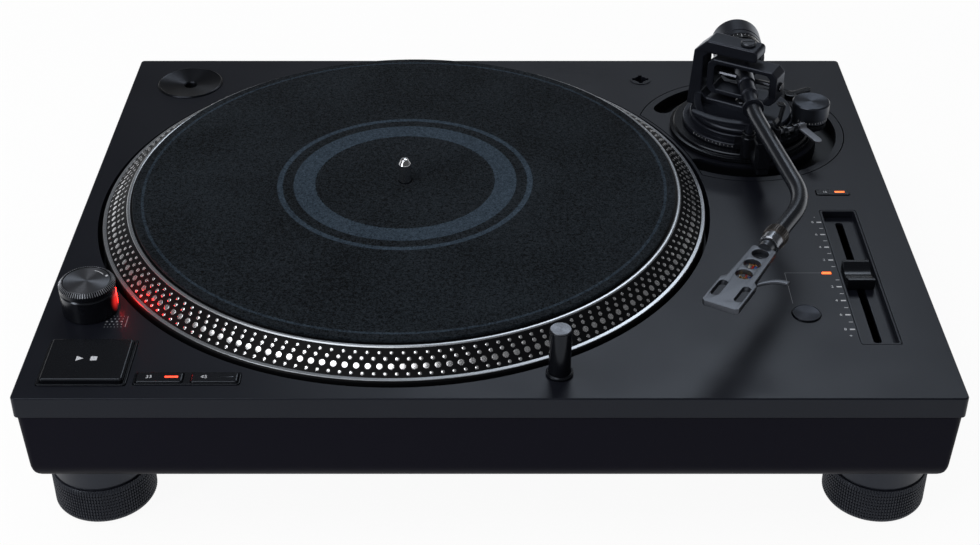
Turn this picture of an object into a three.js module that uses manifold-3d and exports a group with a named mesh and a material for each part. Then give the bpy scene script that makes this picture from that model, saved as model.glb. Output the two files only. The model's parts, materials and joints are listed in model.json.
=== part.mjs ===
// Direct-drive DJ turntable: cast deck on a cabinet with four screw feet, platter and motor,
// controls, and a gimballed S-shaped tone arm on a base of adjustable height.
// Millimetres, +Z up, front at -Y. The origin is on the floor under the middle of the deck.

import * as THREE from 'three';
import { mergeVertices } from 'three/addons/utils/BufferGeometryUtils.js';
import Module from 'manifold-3d';

const wasm = await Module();
wasm.setup();

// Clearances and facets
const seam = 0.3;
const overrun = 2;
const weld = 0.0002;
const degree = Math.PI / 180;
const bigSides = 48;
const midSides = 28;
const smallSides = 16;
const slimSides = 12;
const pinSides = 8;
const cornerSteps = 3;
const chamferSteps = 1;
const roundEndSteps = 4;

// Deck, cabinet and feet
const deckMargin = 6.6;
const deckLeft = 9.6;
const deckRight = 103.6;
const deckCorner = 2.5;
const deckEdge = 0.8;
const deckPlate = 4;
const bandHeight = 11.5;
const skirtWall = 4;
const cabinetHeight = 43.2;
const cabinetInset = 0.8;
const cabinetDraft = 1.4;
const cabinetEdge = 12;
const cabinetCorner = 4;
const cabinetWall = 4;
const cabinetFloor = 4;
const footSide = 26.5;
const footEnd = 40.5;
const footHeight = 39;
const footRadius = 26;
const footRingHeight = 20.5;
const footCupRadius = 24.6;
const footGroove = 0.9;
const footPadRadius = 22.5;
const footPadGap = 0.8;
const footPadHeight = 6;
const footPadShow = 1.8;
const studRadius = 4;
const studBoss = 9;
const coverSide = 50;
const coverEnd = 34;
const coverThickness = 3;
const ventLength = 34;
const ventWidth = 4;
const ventPitch = 14;

// Platter, motor and record adaptor
const platterY = 2;
const wellGap = 2.5;
const wellDepth = 19;
const wellWall = 1.6;
const platterRadius = 167.4;
const platterSkirt = 14;
const platterTop = 11.2;
const platterWeb = 6.4;
const platterRim = 7;
const outerRingTop = 1.9;
const outerRingWidth = 2.4;
const slopeWidth = 14.6;
const innerRingWidth = 1.4;
const innerRingTop = 11.6;
const hubRadius = 14;
const matMargin = 1.4;
const matThickness = 1.8;
const spindleRadius = 3.55;
const spindleTop = 27.3;
const spindleTip = 1.4;
const rotorRadius = 62;
const rotorPlate = 2.4;
const rotorLow = 4.4;
const rotorHub = 11;
const rotorHubTop = 1.8;
const magnetInner = 34;
const magnetHeight = 3.9;
const statorRadius = 70;
const statorPlate = 2.5;
const coilInner = 36;
const coilOuter = 58;
const coilHeight = 4.9;
const coilCount = 9;
const coilSteps = 2;
const bearingRadius = 9.5;
const bearingDepth = 14;
const adaptorMargin = 31.696;
const adaptorBearing = 135.1005 * degree;
const dishRadius = 20.5;
const dishDepth = 9;
const adaptorRise = 0.9;
const adaptorRim = 1.5;
const adaptorHollow = 3.6;
const adaptorBore = 3.85;

// Front controls
const startLeft = 31.5;
const startFront = 28;
const startWidth = 43;
const startDepth = 36;
const startRise = 2.8;
const frameWall = 1.3;
const frameRise = 0.5;
const frameDepth = 8;
const buttonEdge = 1.2;
const buttonCorner = 1.4;
const speedSide = 3.3;
const speedFront = 15.4;
const speedWidth = 51;
const speedDepth = 9.6;
const speedGap = 3.2;
const speedRise = 1.3;
const speedFrameDepth = 5;
const buttonTravel = 1.5;

// Power knob with strobe, and stylus light
const powerMargin = 17.8695;
const powerBearing = -145.963 * degree;
const powerRadius = 14.1;
const housingHeight = 13.2;
const housingNeck = 11.6;
const housingDepth = 9;
const knobStem = 5;
const knobStemLength = 7;
const powerKnobHeight = 4.1;
const powerBevel = 1.5;
const windowAngle = 25 * degree;
const windowSpan = 24 * degree;
const windowLow = 2.8;
const windowHigh = 12.2;
const windowThickness = 1.6;
const lampMargin = 8.362;
const lampBearing = -63.119 * degree;
const lampRadius = 5.4;
const lampTop = 26.8;
const lampCap = 2.2;
const lampGroove = 0.5;
const lampTail = 16;
const collarRadius = 6.7;
const collarHeight = 1.6;
const collarNeck = 6.2;
const collarDepth = 13;

// Pitch fader, range button, reset button and zero lamp
const pitchRight = 33;
const pitchWidth = 20;
const pitchMargin = 43.2;
const pitchSink = 4.2;
const pitchFloor = 1.6;
const pitchWall = 1;
const slotWidth = 4.2;
const slotEnd = 6.5;
const faderWidth = 15.8;
const faderLength = 19.4;
const faderRise = 2.2;
const faderHollow = 2.6;
const faderRidge = 2.4;
const faderStem = 8;
const faderDepth = 14;
const rangeShift = 0.7;
const rangeGap = 18.8;
const rangeAhead = 13.066;
const rangeWidth = 18.8;
const rangeDepth = 5.8;
const rangeRise = 0.6;
const resetLeft = 33.1;
const resetAhead = 36.7;
const resetRadius = 7.3;
const resetRise = 0.9;
const resetHollow = 1.4;
const buttonFlange = 1.5;
const buttonFlangeHeight = 2;
const zeroGap = 6.6;
const zeroShift = 0.3;
const zeroWidth = 5;
const zeroDepth = 1.9;
const zeroRise = 0.2;

// Spare headshell holder
const holderLeft = 55.389;
const holderRear = 27.4;
const holderFlange = 6.7;
const holderRise = 0.4;
const holderNeck = 6;
const holderBore = 4.6;
const holderDepth = 17;
const holderFloor = 1.5;
const notchWidth = 2;
const notchReach = 5.5;
const notchDepth = 3;

// Arm base
const pivotMargin = 45.1;
const pivotBearing = 22.67 * degree;
const baseRadius = 61.3;
const baseThickness = 10.5;
const baseGroove = 0.6;
const baseBore = 28.6;
const channelInner = 45.4;
const channelOuter = 57;
const channelDepth = 8.5;
const channelStart = -126 * degree;
const channelEnd = 150 * degree;
const ledgeWall = 3;
const ledgeInner = 55;
const turretSleeve = 28;
const turretDepth = 12;
const ringRadius = 42.4;
const ringBand = 3;
const ringTopRadius = 40.5;
const ringTop = 5.3;
const stepRadius = 35;
const stepTop = 8.5;
const drumRadius = 31;
const drumTop = 12;
const edgeBreak = 0.6;

// Yoke, gimbal and pivots
const gimbalAngle = -30 * degree;
const gimbalSeat = 4;
const gimbalRoof = 3.4;
const flangeRadius = 29.2;
const flangeHeight = 2.7;
const yokeArm = 7.6;
const yokeFoot = 4;
const yokeReach = 31;
const yokeFlare = 2.4;
const yokeInner = 24.6;
const yokeHalf = 6.8;
const yokeEnd = 8.6;
const yokeChamfer = 8;
const yokeInnerChamfer = 3.5;
const ringHalf = 22;
const gimbalHalf = 6.4;
const gimbalRise = 11;
const gimbalBeam = 3;
const gimbalPost = 4.6;
const gimbalChamfer = 3.4;
const gimbalInnerChamfer = 2.2;
const shaftRadius = 1.5;
const shaftHead = 3;
const shaftHeadLength = 1.1;
const runningGap = 0.4;
const screwRadius = 2.5;
const screwHead = 4.4;
const screwHeadHeight = 1.7;
const screwTip = 1;

// Arm hub, tube, collar and counterweight
const armHeading = -90.5 * degree;
const tubeRadius = 4.4;
const tubeSides = 12;
const bendStep = 5 * degree;
const tubeStart = 35;
const tubeStraight = 38.2;
const firstBendRadius = 90;
const firstBendTurn = 9 * degree;
const tubeMiddle = 69;
const secondBendRadius = 49;
const secondBendTurn = -38.5 * degree;
const tubeTail = 29.5;
const plateFromTube = 9;
const hubMiddle = 5.2;
const hubMiddleHalf = 8;
const hubSleeve = 4.4;
const hubSleeveEnd = 5;
const hubSleeveLength = 13;
const hubNeck = 3.8;
const hubFlange = 6.2;
const hubFlangeLength = 1.6;
const hubRearBody = 4.7;
const hubRearLength = 12;
const rearStub = 3.6;
const rearEnd = 58;
const collarOuter = 6.2;
const collarFront = 5.4;
const collarBack = 17.5;
const collarNose = 4.6;
const collarRing = 6;
const collarLip = 1.6;
const plugRadius = 3;
const plugLength = 15;
const plugCollar = 3.9;
const plugCollarLength = 4.2;
const weightRadius = 15;
const weightFront = 31;
const weightLength = 19.5;
const weightBoss = 9;
const weightBossLength = 5;
const weightRecess = 3;
const weightRecessRadius = 11;
const sleeveOuter = 7;
const dialRadius = 14.8;
const dialLength = 5.9;
const dialStepRadius = 12.4;
const dialStep = 1.2;

// Headshell and finger lift
const shellLength = 57;
const shellRear = 12.6;
const shellNeck = 15;
const shellFront = 19;
const shellTip = 6.8;
const shellWaist = 5.2;
const shellStep = 3;
const shellThickness = 3;
const shellChamfer = 1.6;
const shellHole = 4.1;
const shellHoleFirst = 6.2;
const shellHolePitch = 10.3;
const shellSlotLength = 14;
const shellSlotWidth = 4;
const shellSlotApart = 12;
const shellBoss = 4.6;
const shellBossLength = 5.5;
const shellBossHalf = 4.4;
const fingerReach = 13;
const fingerBack = 8.6;
const fingerBow = 3.4;
const fingerWidth = 2.4;
const fingerThickness = 1.4;
const fingerInset = 1.6;
const fingerSteps = 8;

// Arm bracket, cue lift, arm rest and anti-skate
const bracketLow = 8.8;
const bracketHigh = 12;
const bracketOuter = 41;
const bracketStart = -104 * degree;
const bracketEnd = 42 * degree;
const skateX = 39;
const skateY = -9;
const skatePad = 10;
const skateRadius = 11;
const skateTop = 24;
const skateSkirt = 3;
const skateSkirtRadius = 10.2;
const skateHollow = 1.2;
const skateStem = 3;
const skateStemLength = 3.4;
const liftX = -2.3;
const liftY = -43.5;
const liftBarrel = 4.2;
const liftLow = 6.4;
const liftHigh = 22;
const liftPost = 2.3;
const liftPostLow = 9;
const liftBarGap = 1.3;
const liftBarHeight = 2;
const liftBarInner = 41.5;
const liftBarOuter = 45.5;
const liftBarStart = -138 * degree;
const liftBarEnd = -78 * degree;
const cueX = 31.1;
const cueY = -24.8;
const cueAngle = 24 * degree;
const cueHeight = 15;
const cueShaft = 1.5;
const cueShaftLength = 14;
const cueBladeLength = 20;
const cueBladeWidth = 5;
const cueBladeThickness = 1.4;
const cueHubRadius = 2.6;
const earThickness = 2.4;
const earNear = 4.4;
const earFar = 11.4;
const earHalf = 3;
const restDistance = 66;
const restLength = 7;
const restGap = 0.5;
const restLeft = 5;
const restWall = 3.2;
const restRise = 3.6;
const restPost = 7;
const restCradle = 5;
const restBeam = 7;
const restSeatSteps = 6;
const clipThickness = 1.4;
const clipLength = 4;
const clipPin = 0.8;
const clipRise = 2.4;
const clipLip = 4.4;
const clipOpen = -100 * degree;
const lockAngle = 30 * degree;
const lockAt = 37;
const lockHub = 3.8;
const lockHeight = 2.2;
const lockArm = 15;
const lockArmWidth = 3.6;
const lockPin = 1.6;

// Sockets in the rear wall
const inletX = 120;
const inletWidth = 26;
const inletHeight = 18;
const inletDepth = 18;
const inletCavityWidth = 14;
const inletCavityHeight = 8;
const inletCavityDepth = 12;
const inletPin = 1.2;
const inletPinLength = 9;
const inletPinPitch = 8.6;
const rearCentre = 22;
const socketCorner = 1.2;
const bayX = -120;
const bayWidth = 62;
const bayHeight = 24;
const bayDepth = 13;
const bayWall = 1.5;
const bayFloor = 2;
const jackRadius = 4.1;
const jackLength = 8;
const jackBore = 1.7;
const jackPitch = 18;
const jackShift = -10;
const earthShift = 21;
const earthStud = 2;
const earthStudLength = 8.5;
const nutRadius = 4.8;
const nutLength = 5;
const nutGap = 1;

// Heights and places worked out from the sizes above
const deckTop = footHeight + cabinetHeight + seam + bandHeight;
const wellRadius = platterRadius + wellGap;
const deckWidth = deckLeft + 2 * wellRadius + deckRight;
const deckDepth = 2 * (wellRadius + deckMargin);
const deckFront = -deckDepth / 2;
const platterX = deckLeft + wellRadius - deckWidth / 2;
const innerRingRadius = platterRadius - slopeWidth;
const matRadius = innerRingRadius - innerRingWidth - matMargin;
const footX = deckWidth / 2 - footSide;
const footY = deckDepth / 2 - footEnd;
const coverWidth = 2 * (footX - coverSide);
const coverDepth = 2 * (footY - coverEnd);
const aroundWell = (margin, bearing) => [
  platterX + (wellRadius + margin) * Math.cos(bearing),
  platterY + (wellRadius + margin) * Math.sin(bearing),
];
const [adaptorX, adaptorY] = aroundWell(adaptorMargin, adaptorBearing);
const [powerX, powerY] = aroundWell(powerMargin, powerBearing);
const [lampX, lampY] = aroundWell(lampMargin, lampBearing);
const [pivotX, pivotY] = aroundWell(pivotMargin, pivotBearing);
const startX = startLeft - deckWidth / 2;
const startY = deckFront + startFront;
const speedX = startX + startWidth / 2 + speedSide + speedWidth / 2;
const speedY = deckFront + speedFront;
const pitchX = deckWidth / 2 - pitchRight;
const rangeX = pitchX + rangeShift;
const rangeY = pivotY - baseRadius - rangeAhead;
const pitchLength = rangeY - rangeGap - deckFront - pitchMargin;
const pitchY = deckFront + pitchMargin + pitchLength / 2;
const slotLength = pitchLength - 2 * slotEnd;
const resetX = pitchX - resetLeft;
const resetY = pitchY - resetAhead;
const zeroX = pitchX - pitchWidth / 2 - zeroGap;
const zeroY = pitchY + zeroShift;
const holderX = pivotX - holderLeft;
const holderY = deckDepth / 2 - holderRear;
const flangeLow = drumTop + seam;
const flangeTop = flangeLow + flangeHeight;
const yokeFloor = flangeTop + yokeFoot;
const gimbalLow = yokeFloor + gimbalSeat;
const tubeHeight = gimbalLow + gimbalRise;
const gimbalHigh = tubeHeight + gimbalRise;
const yokeCeiling = gimbalHigh + gimbalRoof;
const yokeTop = yokeCeiling + yokeArm;
const liftBarTop = tubeHeight - tubeRadius - liftBarGap;
const shellSlotAt = shellLength - shellTip - shellSlotLength / 2;
const shellNeckEnd = shellSlotAt - shellSlotLength / 2 - shellWaist;
const shellShoulder = shellNeckEnd + shellStep;
const shellHoles = Math.floor((shellNeckEnd - shellHoleFirst) / shellHolePitch) + 1;
const fingerAt = shellNeckEnd - fingerInset;

// Finishes of the pieces
const finish = (color, roughness, metalness) => new THREE.MeshStandardMaterial({ color, roughness, metalness });
const finishes = {
  deck: finish(0x2c2e36, 0.5, 0.4),
  cabinet: finish(0x202229, 0.6, 0.2),
  rubber: finish(0x151517, 0.9, 0),
  blackPlastic: finish(0x101113, 0.35, 0),
  platter: finish(0x1b1c1f, 0.35, 0.7),
  felt: finish(0x1c2124, 1, 0),
  steel: finish(0xb9bcc0, 0.25, 1),
  darkMetal: finish(0x1a1b1f, 0.3, 0.7),
  shell: finish(0x9a9ca2, 0.45, 0.7),
  copper: finish(0xa35a32, 0.4, 1),
  ferrite: finish(0x2a2a2c, 0.8, 0),
  redLens: finish(0xd02018, 0.3, 0),
  amberLens: finish(0xf06020, 0.3, 0),
  board: finish(0x1d3a2a, 0.6, 0),
};

// Outlines and solids

function circlePoints(radius, sides, x = 0, y = 0) {
  const points = [];
  for (let i = 0; i < sides; i += 1) {
    const angle = (i / sides) * 2 * Math.PI;
    points.push(new THREE.Vector2(x + radius * Math.cos(angle), y + radius * Math.sin(angle)));
  }
  return points;
}

function boxPoints(width, depth, corner, x = 0, y = 0, steps = cornerSteps) {
  const points = [];
  for (let quarter = 0; quarter < 4; quarter += 1) {
    const sideX = quarter === 0 || quarter === 3 ? 1 : -1;
    const sideY = quarter < 2 ? 1 : -1;
    for (let i = 0; i <= steps; i += 1) {
      const angle = (quarter + i / steps) * (Math.PI / 2);
      const cornerX = x + sideX * (width / 2 - corner) + corner * Math.cos(angle);
      const cornerY = y + sideY * (depth / 2 - corner) + corner * Math.sin(angle);
      points.push(new THREE.Vector2(cornerX, cornerY));
    }
  }
  return points;
}

function arcPoints(radius, start, end, steps, x = 0, y = 0) {
  const points = [];
  for (let i = 0; i <= steps; i += 1) {
    const angle = start + ((end - start) * i) / steps;
    points.push(new THREE.Vector2(x + radius * Math.cos(angle), y + radius * Math.sin(angle)));
  }
  return points;
}

// A band between two radii, with square or round ends
function bandPoints(inner, outer, start, end, steps, roundEnds = false) {
  const middle = (inner + outer) / 2;
  const half = (outer - inner) / 2;
  const outside = arcPoints(outer, start, end, steps);
  const inside = arcPoints(inner, end, start, steps);
  if (!roundEnds) return [...outside, ...inside];
  const capSteps = cornerSteps * 2;
  const endX = middle * Math.cos(end);
  const endY = middle * Math.sin(end);
  const startX0 = middle * Math.cos(start);
  const startY0 = middle * Math.sin(start);
  const endCap = arcPoints(half, end, end + Math.PI, capSteps, endX, endY).slice(1, -1);
  const startCap = arcPoints(half, start + Math.PI, start + 2 * Math.PI, capSteps, startX0, startY0).slice(1, -1);
  return [...outside, ...endCap, ...inside, ...startCap];
}

// A slot along X with round ends
function slotPoints(length, width, x = 0, y = 0) {
  const reach = (length - width) / 2;
  return [
    ...arcPoints(width / 2, -Math.PI / 2, Math.PI / 2, roundEndSteps, x + reach, y),
    ...arcPoints(width / 2, Math.PI / 2, (3 * Math.PI) / 2, roundEndSteps, x - reach, y),
  ];
}

function slab(points, low, high, holes = []) {
  const shape = new THREE.Shape(points);
  for (const hole of holes) shape.holes.push(new THREE.Path(hole));
  const geometry = new THREE.ExtrudeGeometry(shape, { depth: high - low, bevelEnabled: false });
  return geometry.translate(0, 0, low);
}

function pillar(radius, low, high, sides, x = 0, y = 0) {
  return slab(circlePoints(radius, sides, x, y), low, high);
}

// A profile of [radius, height] pairs, from the bottom outwards and up, turned about Z
function turned(profile, sides) {
  const points = profile.map(([radius, height]) => new THREE.Vector2(radius, height));
  if (profile[0][0] > 0) points.push(points[0].clone());
  return new THREE.LatheGeometry(points, sides).rotateX(Math.PI / 2);
}

// The same profile turned about X, where its heights run forward
function turnedAlong(profile, sides) {
  return turned(profile, sides).rotateY(Math.PI / 2);
}

// Outlines with the same number of points, stacked upwards into one closed solid
function stacked(levels) {
  const count = levels[0].points.length;
  const vertices = [];
  const faces = [];
  for (const level of levels) {
    for (const point of level.points) vertices.push(point.x, point.y, level.height);
  }
  for (let row = 0; row < levels.length - 1; row += 1) {
    for (let i = 0; i < count; i += 1) {
      const a = row * count + i;
      const b = row * count + ((i + 1) % count);
      faces.push(a, b, b + count, a, b + count, a + count);
    }
  }
  const last = (levels.length - 1) * count;
  for (let i = 1; i < count - 1; i += 1) {
    faces.push(0, i + 1, i, last, last + i, last + i + 1);
  }
  const geometry = new THREE.BufferGeometry();
  geometry.setAttribute('position', new THREE.Float32BufferAttribute(vertices, 3));
  geometry.setIndex(faces);
  return geometry;
}

// A block whose outline shrinks by the given inset at each height
function softBlock(width, depth, corner, levels, x = 0, y = 0) {
  return stacked(levels.map(([height, inset]) => {
    const round = Math.max(corner - inset, corner / 4);
    return { height, points: boxPoints(width - 2 * inset, depth - 2 * inset, round, x, y) };
  }));
}

function upright(geometry) {
  return geometry.rotateX(Math.PI / 2);
}

function solidOf(geometry) {
  const plain = geometry.clone();
  plain.deleteAttribute('normal');
  plain.deleteAttribute('uv');
  const merged = mergeVertices(plain, weld);
  const triangles = [];
  for (let i = 0; i < merged.index.count; i += 3) {
    const corners = [merged.index.getX(i), merged.index.getX(i + 1), merged.index.getX(i + 2)];
    if (new Set(corners).size === 3) triangles.push(...corners);
  }
  const vertProperties = new Float32Array(merged.attributes.position.array);
  const triVerts = new Uint32Array(triangles);
  return new wasm.Manifold(new wasm.Mesh({ numProp: 3, vertProperties, triVerts }));
}

function geometryOf(body) {
  const { vertProperties, triVerts } = body.getMesh();
  const geometry = new THREE.BufferGeometry();
  geometry.setAttribute('position', new THREE.Float32BufferAttribute(vertProperties, 3));
  geometry.setIndex(Array.from(triVerts));
  geometry.computeVertexNormals();
  return geometry;
}

function joined(...geometries) {
  return geometryOf(geometries.map(solidOf).reduce((sum, body) => sum.add(body)));
}

function cut(base, ...tools) {
  return geometryOf(tools.map(solidOf).reduce((rest, tool) => rest.subtract(tool), solidOf(base)));
}

// Scene graph

const turntable = new THREE.Group();
const cabinetLevel = new THREE.Group();
const deckLevel = new THREE.Group();
const platterAxis = new THREE.Group();
const armAxis = new THREE.Group();
const gimbalPlane = new THREE.Group();
const armLine = new THREE.Group();
const headLine = new THREE.Group();
const restPlace = new THREE.Group();
cabinetLevel.position.z = footHeight;
deckLevel.position.z = deckTop;
platterAxis.position.set(platterX, platterY, 0);
armAxis.position.set(pivotX, pivotY, 0);
gimbalPlane.rotation.z = gimbalAngle;
armLine.rotation.z = armHeading;
armLine.position.z = tubeHeight;
turntable.add(cabinetLevel, deckLevel);
deckLevel.add(platterAxis, armAxis);
armAxis.add(gimbalPlane, armLine, restPlace);
armLine.add(headLine);

function piece(name, geometry, material, parent) {
  const mesh = new THREE.Mesh(geometry, material);
  mesh.name = name;
  parent.add(mesh);
  return mesh;
}


// Deck: a plate with a turned-down rim, the platter well, and openings for what it carries
function deckGeometry() {
  const outside = softBlock(deckWidth, deckDepth, deckCorner, [
    [-bandHeight, 0],
    [-deckEdge, 0],
    [-deckEdge * (1 - Math.SQRT1_2), deckEdge * (1 - Math.SQRT1_2)],
    [0, deckEdge],
  ]);
  const insideWidth = deckWidth - 2 * skirtWall;
  const insideDepth = deckDepth - 2 * skirtWall;
  const inside = slab(boxPoints(insideWidth, insideDepth, deckCorner), -bandHeight - overrun, -deckPlate);
  const wellOuter = wellRadius + wellWall;
  const wellCup = pillar(wellOuter, -wellDepth - wellWall, -deckPlate / 2, bigSides, platterX, platterY);
  const well = pillar(wellRadius, -wellDepth, overrun, bigSides, platterX, platterY);
  const bearing = bearingRadius + seam;
  const bearingHole = pillar(bearing, -wellDepth - 2 * wellWall, -wellDepth / 2, smallSides, platterX, platterY);
  const seatRadius = baseRadius + baseGroove;
  const seatLow = -baseThickness - seam;
  const armCup = pillar(seatRadius + ledgeWall, seatLow - ledgeWall, -deckPlate / 2, bigSides, pivotX, pivotY);
  const keepWall = pillar(wellOuter, -bandHeight * 2, overrun, bigSides, platterX, platterY);
  const armSeat = cut(pillar(seatRadius, seatLow, overrun, bigSides, pivotX, pivotY), keepWall);
  const armHole = cut(pillar(ledgeInner, seatLow - 2 * ledgeWall, 0, bigSides, pivotX, pivotY), keepWall);
  const dishCup = pillar(dishRadius + wellWall, -dishDepth - wellWall, -deckPlate / 2, midSides, adaptorX, adaptorY);
  const dish = pillar(dishRadius, -dishDepth, overrun, midSides, adaptorX, adaptorY);
  const opening = (width, depth, corner, x, y) => {
    const points = boxPoints(width + 2 * seam, depth + 2 * seam, corner, x, y);
    return slab(points, -bandHeight, overrun);
  };
  const bore = (radius, x, y) => pillar(radius + seam, -bandHeight, overrun, smallSides, x, y);
  const body = joined(cut(outside, inside), wellCup, armCup, dishCup);
  return cut(
    body,
    well,
    bearingHole,
    armSeat,
    armHole,
    dish,
    opening(startWidth, startDepth, buttonCorner, startX, startY),
    opening(speedWidth, speedDepth, buttonCorner, speedX, speedY),
    opening(pitchWidth, pitchLength, buttonCorner, pitchX, pitchY),
    opening(rangeWidth, rangeDepth, buttonCorner, rangeX, rangeY),
    opening(zeroWidth, zeroDepth, zeroDepth / 3, zeroX, zeroY),
    bore(resetRadius, resetX, resetY),
    bore(holderNeck, holderX, holderY),
    bore(housingNeck, powerX, powerY),
    bore(collarNeck, lampX, lampY),
  );
}
piece('deck', deckGeometry(), finishes.deck, deckLevel);

// Cabinet: tapered walls, rounded lower edge, foot studs, and openings for the cover and sockets
const cabinetWidth = deckWidth - 2 * cabinetInset;
const cabinetDepth = deckDepth - 2 * cabinetInset;
const rearFace = cabinetDepth / 2 - cabinetDraft;

function cabinetGeometry() {
  const edgeLevels = [0, 1, 2, 3, 4].map((step) => {
    const angle = (step / 4) * (Math.PI / 2);
    const inset = cabinetDraft + cabinetEdge * (1 - Math.sin(angle));
    return [cabinetEdge * (1 - Math.cos(angle)), inset];
  });
  const outside = softBlock(cabinetWidth, cabinetDepth, cabinetCorner, [...edgeLevels, [cabinetHeight, 0]]);
  const inside = softBlock(cabinetWidth, cabinetDepth, cabinetCorner, [
    [cabinetFloor, cabinetDraft + cabinetEdge * 0.7],
    [cabinetEdge, cabinetDraft + cabinetWall],
    [cabinetHeight + overrun, cabinetWall],
  ]);
  const coverHole = slab(boxPoints(coverWidth, coverDepth, cabinetWall), -overrun, cabinetFloor + overrun);
  const coverLedge = slab(
    boxPoints(coverWidth + 4 * cabinetWall, coverDepth + 4 * cabinetWall, cabinetWall),
    cabinetFloor - seam,
    cabinetFloor + coverThickness,
    [boxPoints(coverWidth - 2 * cabinetWall, coverDepth - 2 * cabinetWall, cabinetWall)],
  );
  const socketHole = (width, height, x) => {
    const points = boxPoints(width + 2 * seam, height + 2 * seam, socketCorner, x, rearCentre);
    const hole = upright(slab(points, -2 * cabinetWall, 2 * cabinetWall));
    return hole.translate(0, rearFace, 0);
  };
  const studs = [];
  for (const [x, y] of [[footX, footY], [-footX, footY], [-footX, -footY], [footX, -footY]]) {
    studs.push(pillar(studRadius, -footHeight + footPadHeight + footPadShow, cabinetFloor, pinSides, x, y));
    studs.push(pillar(studBoss, cabinetFloor / 2, cabinetEdge, pinSides, x, y));
  }
  const reliefLow = deckTop - footHeight - wellDepth - wellWall - runningGap;
  const reliefRadius = wellRadius + wellWall + runningGap;
  const relief = pillar(reliefRadius, reliefLow, cabinetHeight + overrun, bigSides, platterX, platterY);
  const shell = joined(cut(outside, inside, coverHole), coverLedge, ...studs);
  return cut(shell, relief, socketHole(inletWidth, inletHeight, inletX), socketHole(bayWidth, bayHeight, bayX));
}
piece('cabinet', cabinetGeometry(), finishes.cabinet, cabinetLevel);

// Bottom cover with two rows of vents
function coverGeometry() {
  const vents = [];
  const columns = Math.floor((coverDepth / 2) / ventPitch);
  for (let i = 0; i < columns; i += 1) {
    for (const side of [-1, 1]) {
      const y = (i - (columns - 1) / 2) * ventPitch;
      vents.push(slotPoints(ventLength, ventWidth, side * coverWidth / 4, y));
    }
  }
  const points = boxPoints(coverWidth - 2 * seam, coverDepth - 2 * seam, cabinetWall);
  return slab(points, cabinetFloor - 2 * seam - coverThickness, cabinetFloor - 2 * seam, vents);
}
piece('bottom_cover', coverGeometry(), finishes.blackPlastic, cabinetLevel);

// Feet: a knurled ring and smooth cup that turn on the stud, over a rubber pad
const footProfile = [
  [studRadius + seam, footPadHeight + seam],
  [footPadRadius + footPadGap, footPadHeight + seam],
  [footPadRadius + footPadGap, footPadShow],
  [footRadius, footPadShow],
  [footRadius, footPadShow + footRingHeight - footGroove],
  [footRadius - footGroove, footPadShow + footRingHeight],
  [footCupRadius, footPadShow + footRingHeight],
  [footCupRadius, footHeight - seam],
  [studRadius + seam, footHeight - seam],
];
const feet = [
  ['front_left', -footX, -footY],
  ['front_right', footX, -footY],
  ['rear_left', -footX, footY],
  ['rear_right', footX, footY],
];
for (const [place, x, y] of feet) {
  const foot = piece(`foot_${place}`, turned(footProfile, smallSides), finishes.rubber, turntable);
  foot.position.set(x, y, 0);
  const pad = piece(`foot_pad_${place}`, pillar(footPadRadius, 0, footPadHeight, smallSides), finishes.rubber, turntable);
  pad.position.set(x, y, 0);
}

// Platter: a sloping rim between two bright rings, a flat top, and a hollow underside
const platterProfile = [
  [spindleRadius + seam, rotorHubTop + seam],
  [hubRadius, rotorHubTop + seam],
  [hubRadius, platterTop - platterWeb],
  [platterRadius - platterRim, platterTop - platterWeb],
  [platterRadius - platterRim, -platterSkirt],
  [platterRadius - edgeBreak, -platterSkirt],
  [platterRadius, -platterSkirt + edgeBreak],
  [platterRadius, outerRingTop - 2 * edgeBreak],
  [platterRadius - edgeBreak, outerRingTop - edgeBreak / 2],
  [platterRadius - outerRingWidth, outerRingTop],
  [innerRingRadius + edgeBreak, innerRingTop - edgeBreak],
  [innerRingRadius, innerRingTop],
  [innerRingRadius - innerRingWidth, innerRingTop],
  [innerRingRadius - innerRingWidth - edgeBreak / 2, platterTop],
  [spindleRadius + seam, platterTop],
];
piece('platter', turned(platterProfile, bigSides), finishes.platter, platterAxis);

const matLow = platterTop + seam;
const matProfile = [
  [spindleRadius + 2 * seam, matLow],
  [matRadius - seam, matLow],
  [matRadius, matLow + seam],
  [matRadius, matLow + matThickness - seam],
  [matRadius - seam, matLow + matThickness],
  [spindleRadius + 2 * seam, matLow + matThickness],
];
piece('slipmat', turned(matProfile, bigSides), finishes.felt, platterAxis);

const shaftLow = -wellDepth - bearingDepth;
const rotorTop = -rotorLow + rotorPlate;
const spindleProfile = [
  [0, shaftLow],
  [spindleRadius, shaftLow],
  [spindleRadius, -rotorLow],
  [rotorRadius, -rotorLow],
  [rotorRadius, rotorTop],
  [rotorHub + edgeBreak, rotorTop],
  [rotorHub, rotorHubTop],
  [spindleRadius, rotorHubTop],
  [spindleRadius, spindleTop - spindleTip],
  [spindleRadius - spindleTip, spindleTop],
  [0, spindleTop],
];
piece('spindle', turned(spindleProfile, midSides), finishes.steel, platterAxis);

const magnetTop = -rotorLow - seam;
piece('rotor_magnet', slab(
  circlePoints(rotorRadius - edgeBreak, midSides),
  magnetTop - magnetHeight,
  magnetTop,
  [circlePoints(magnetInner, midSides)],
), finishes.ferrite, platterAxis);

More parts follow.
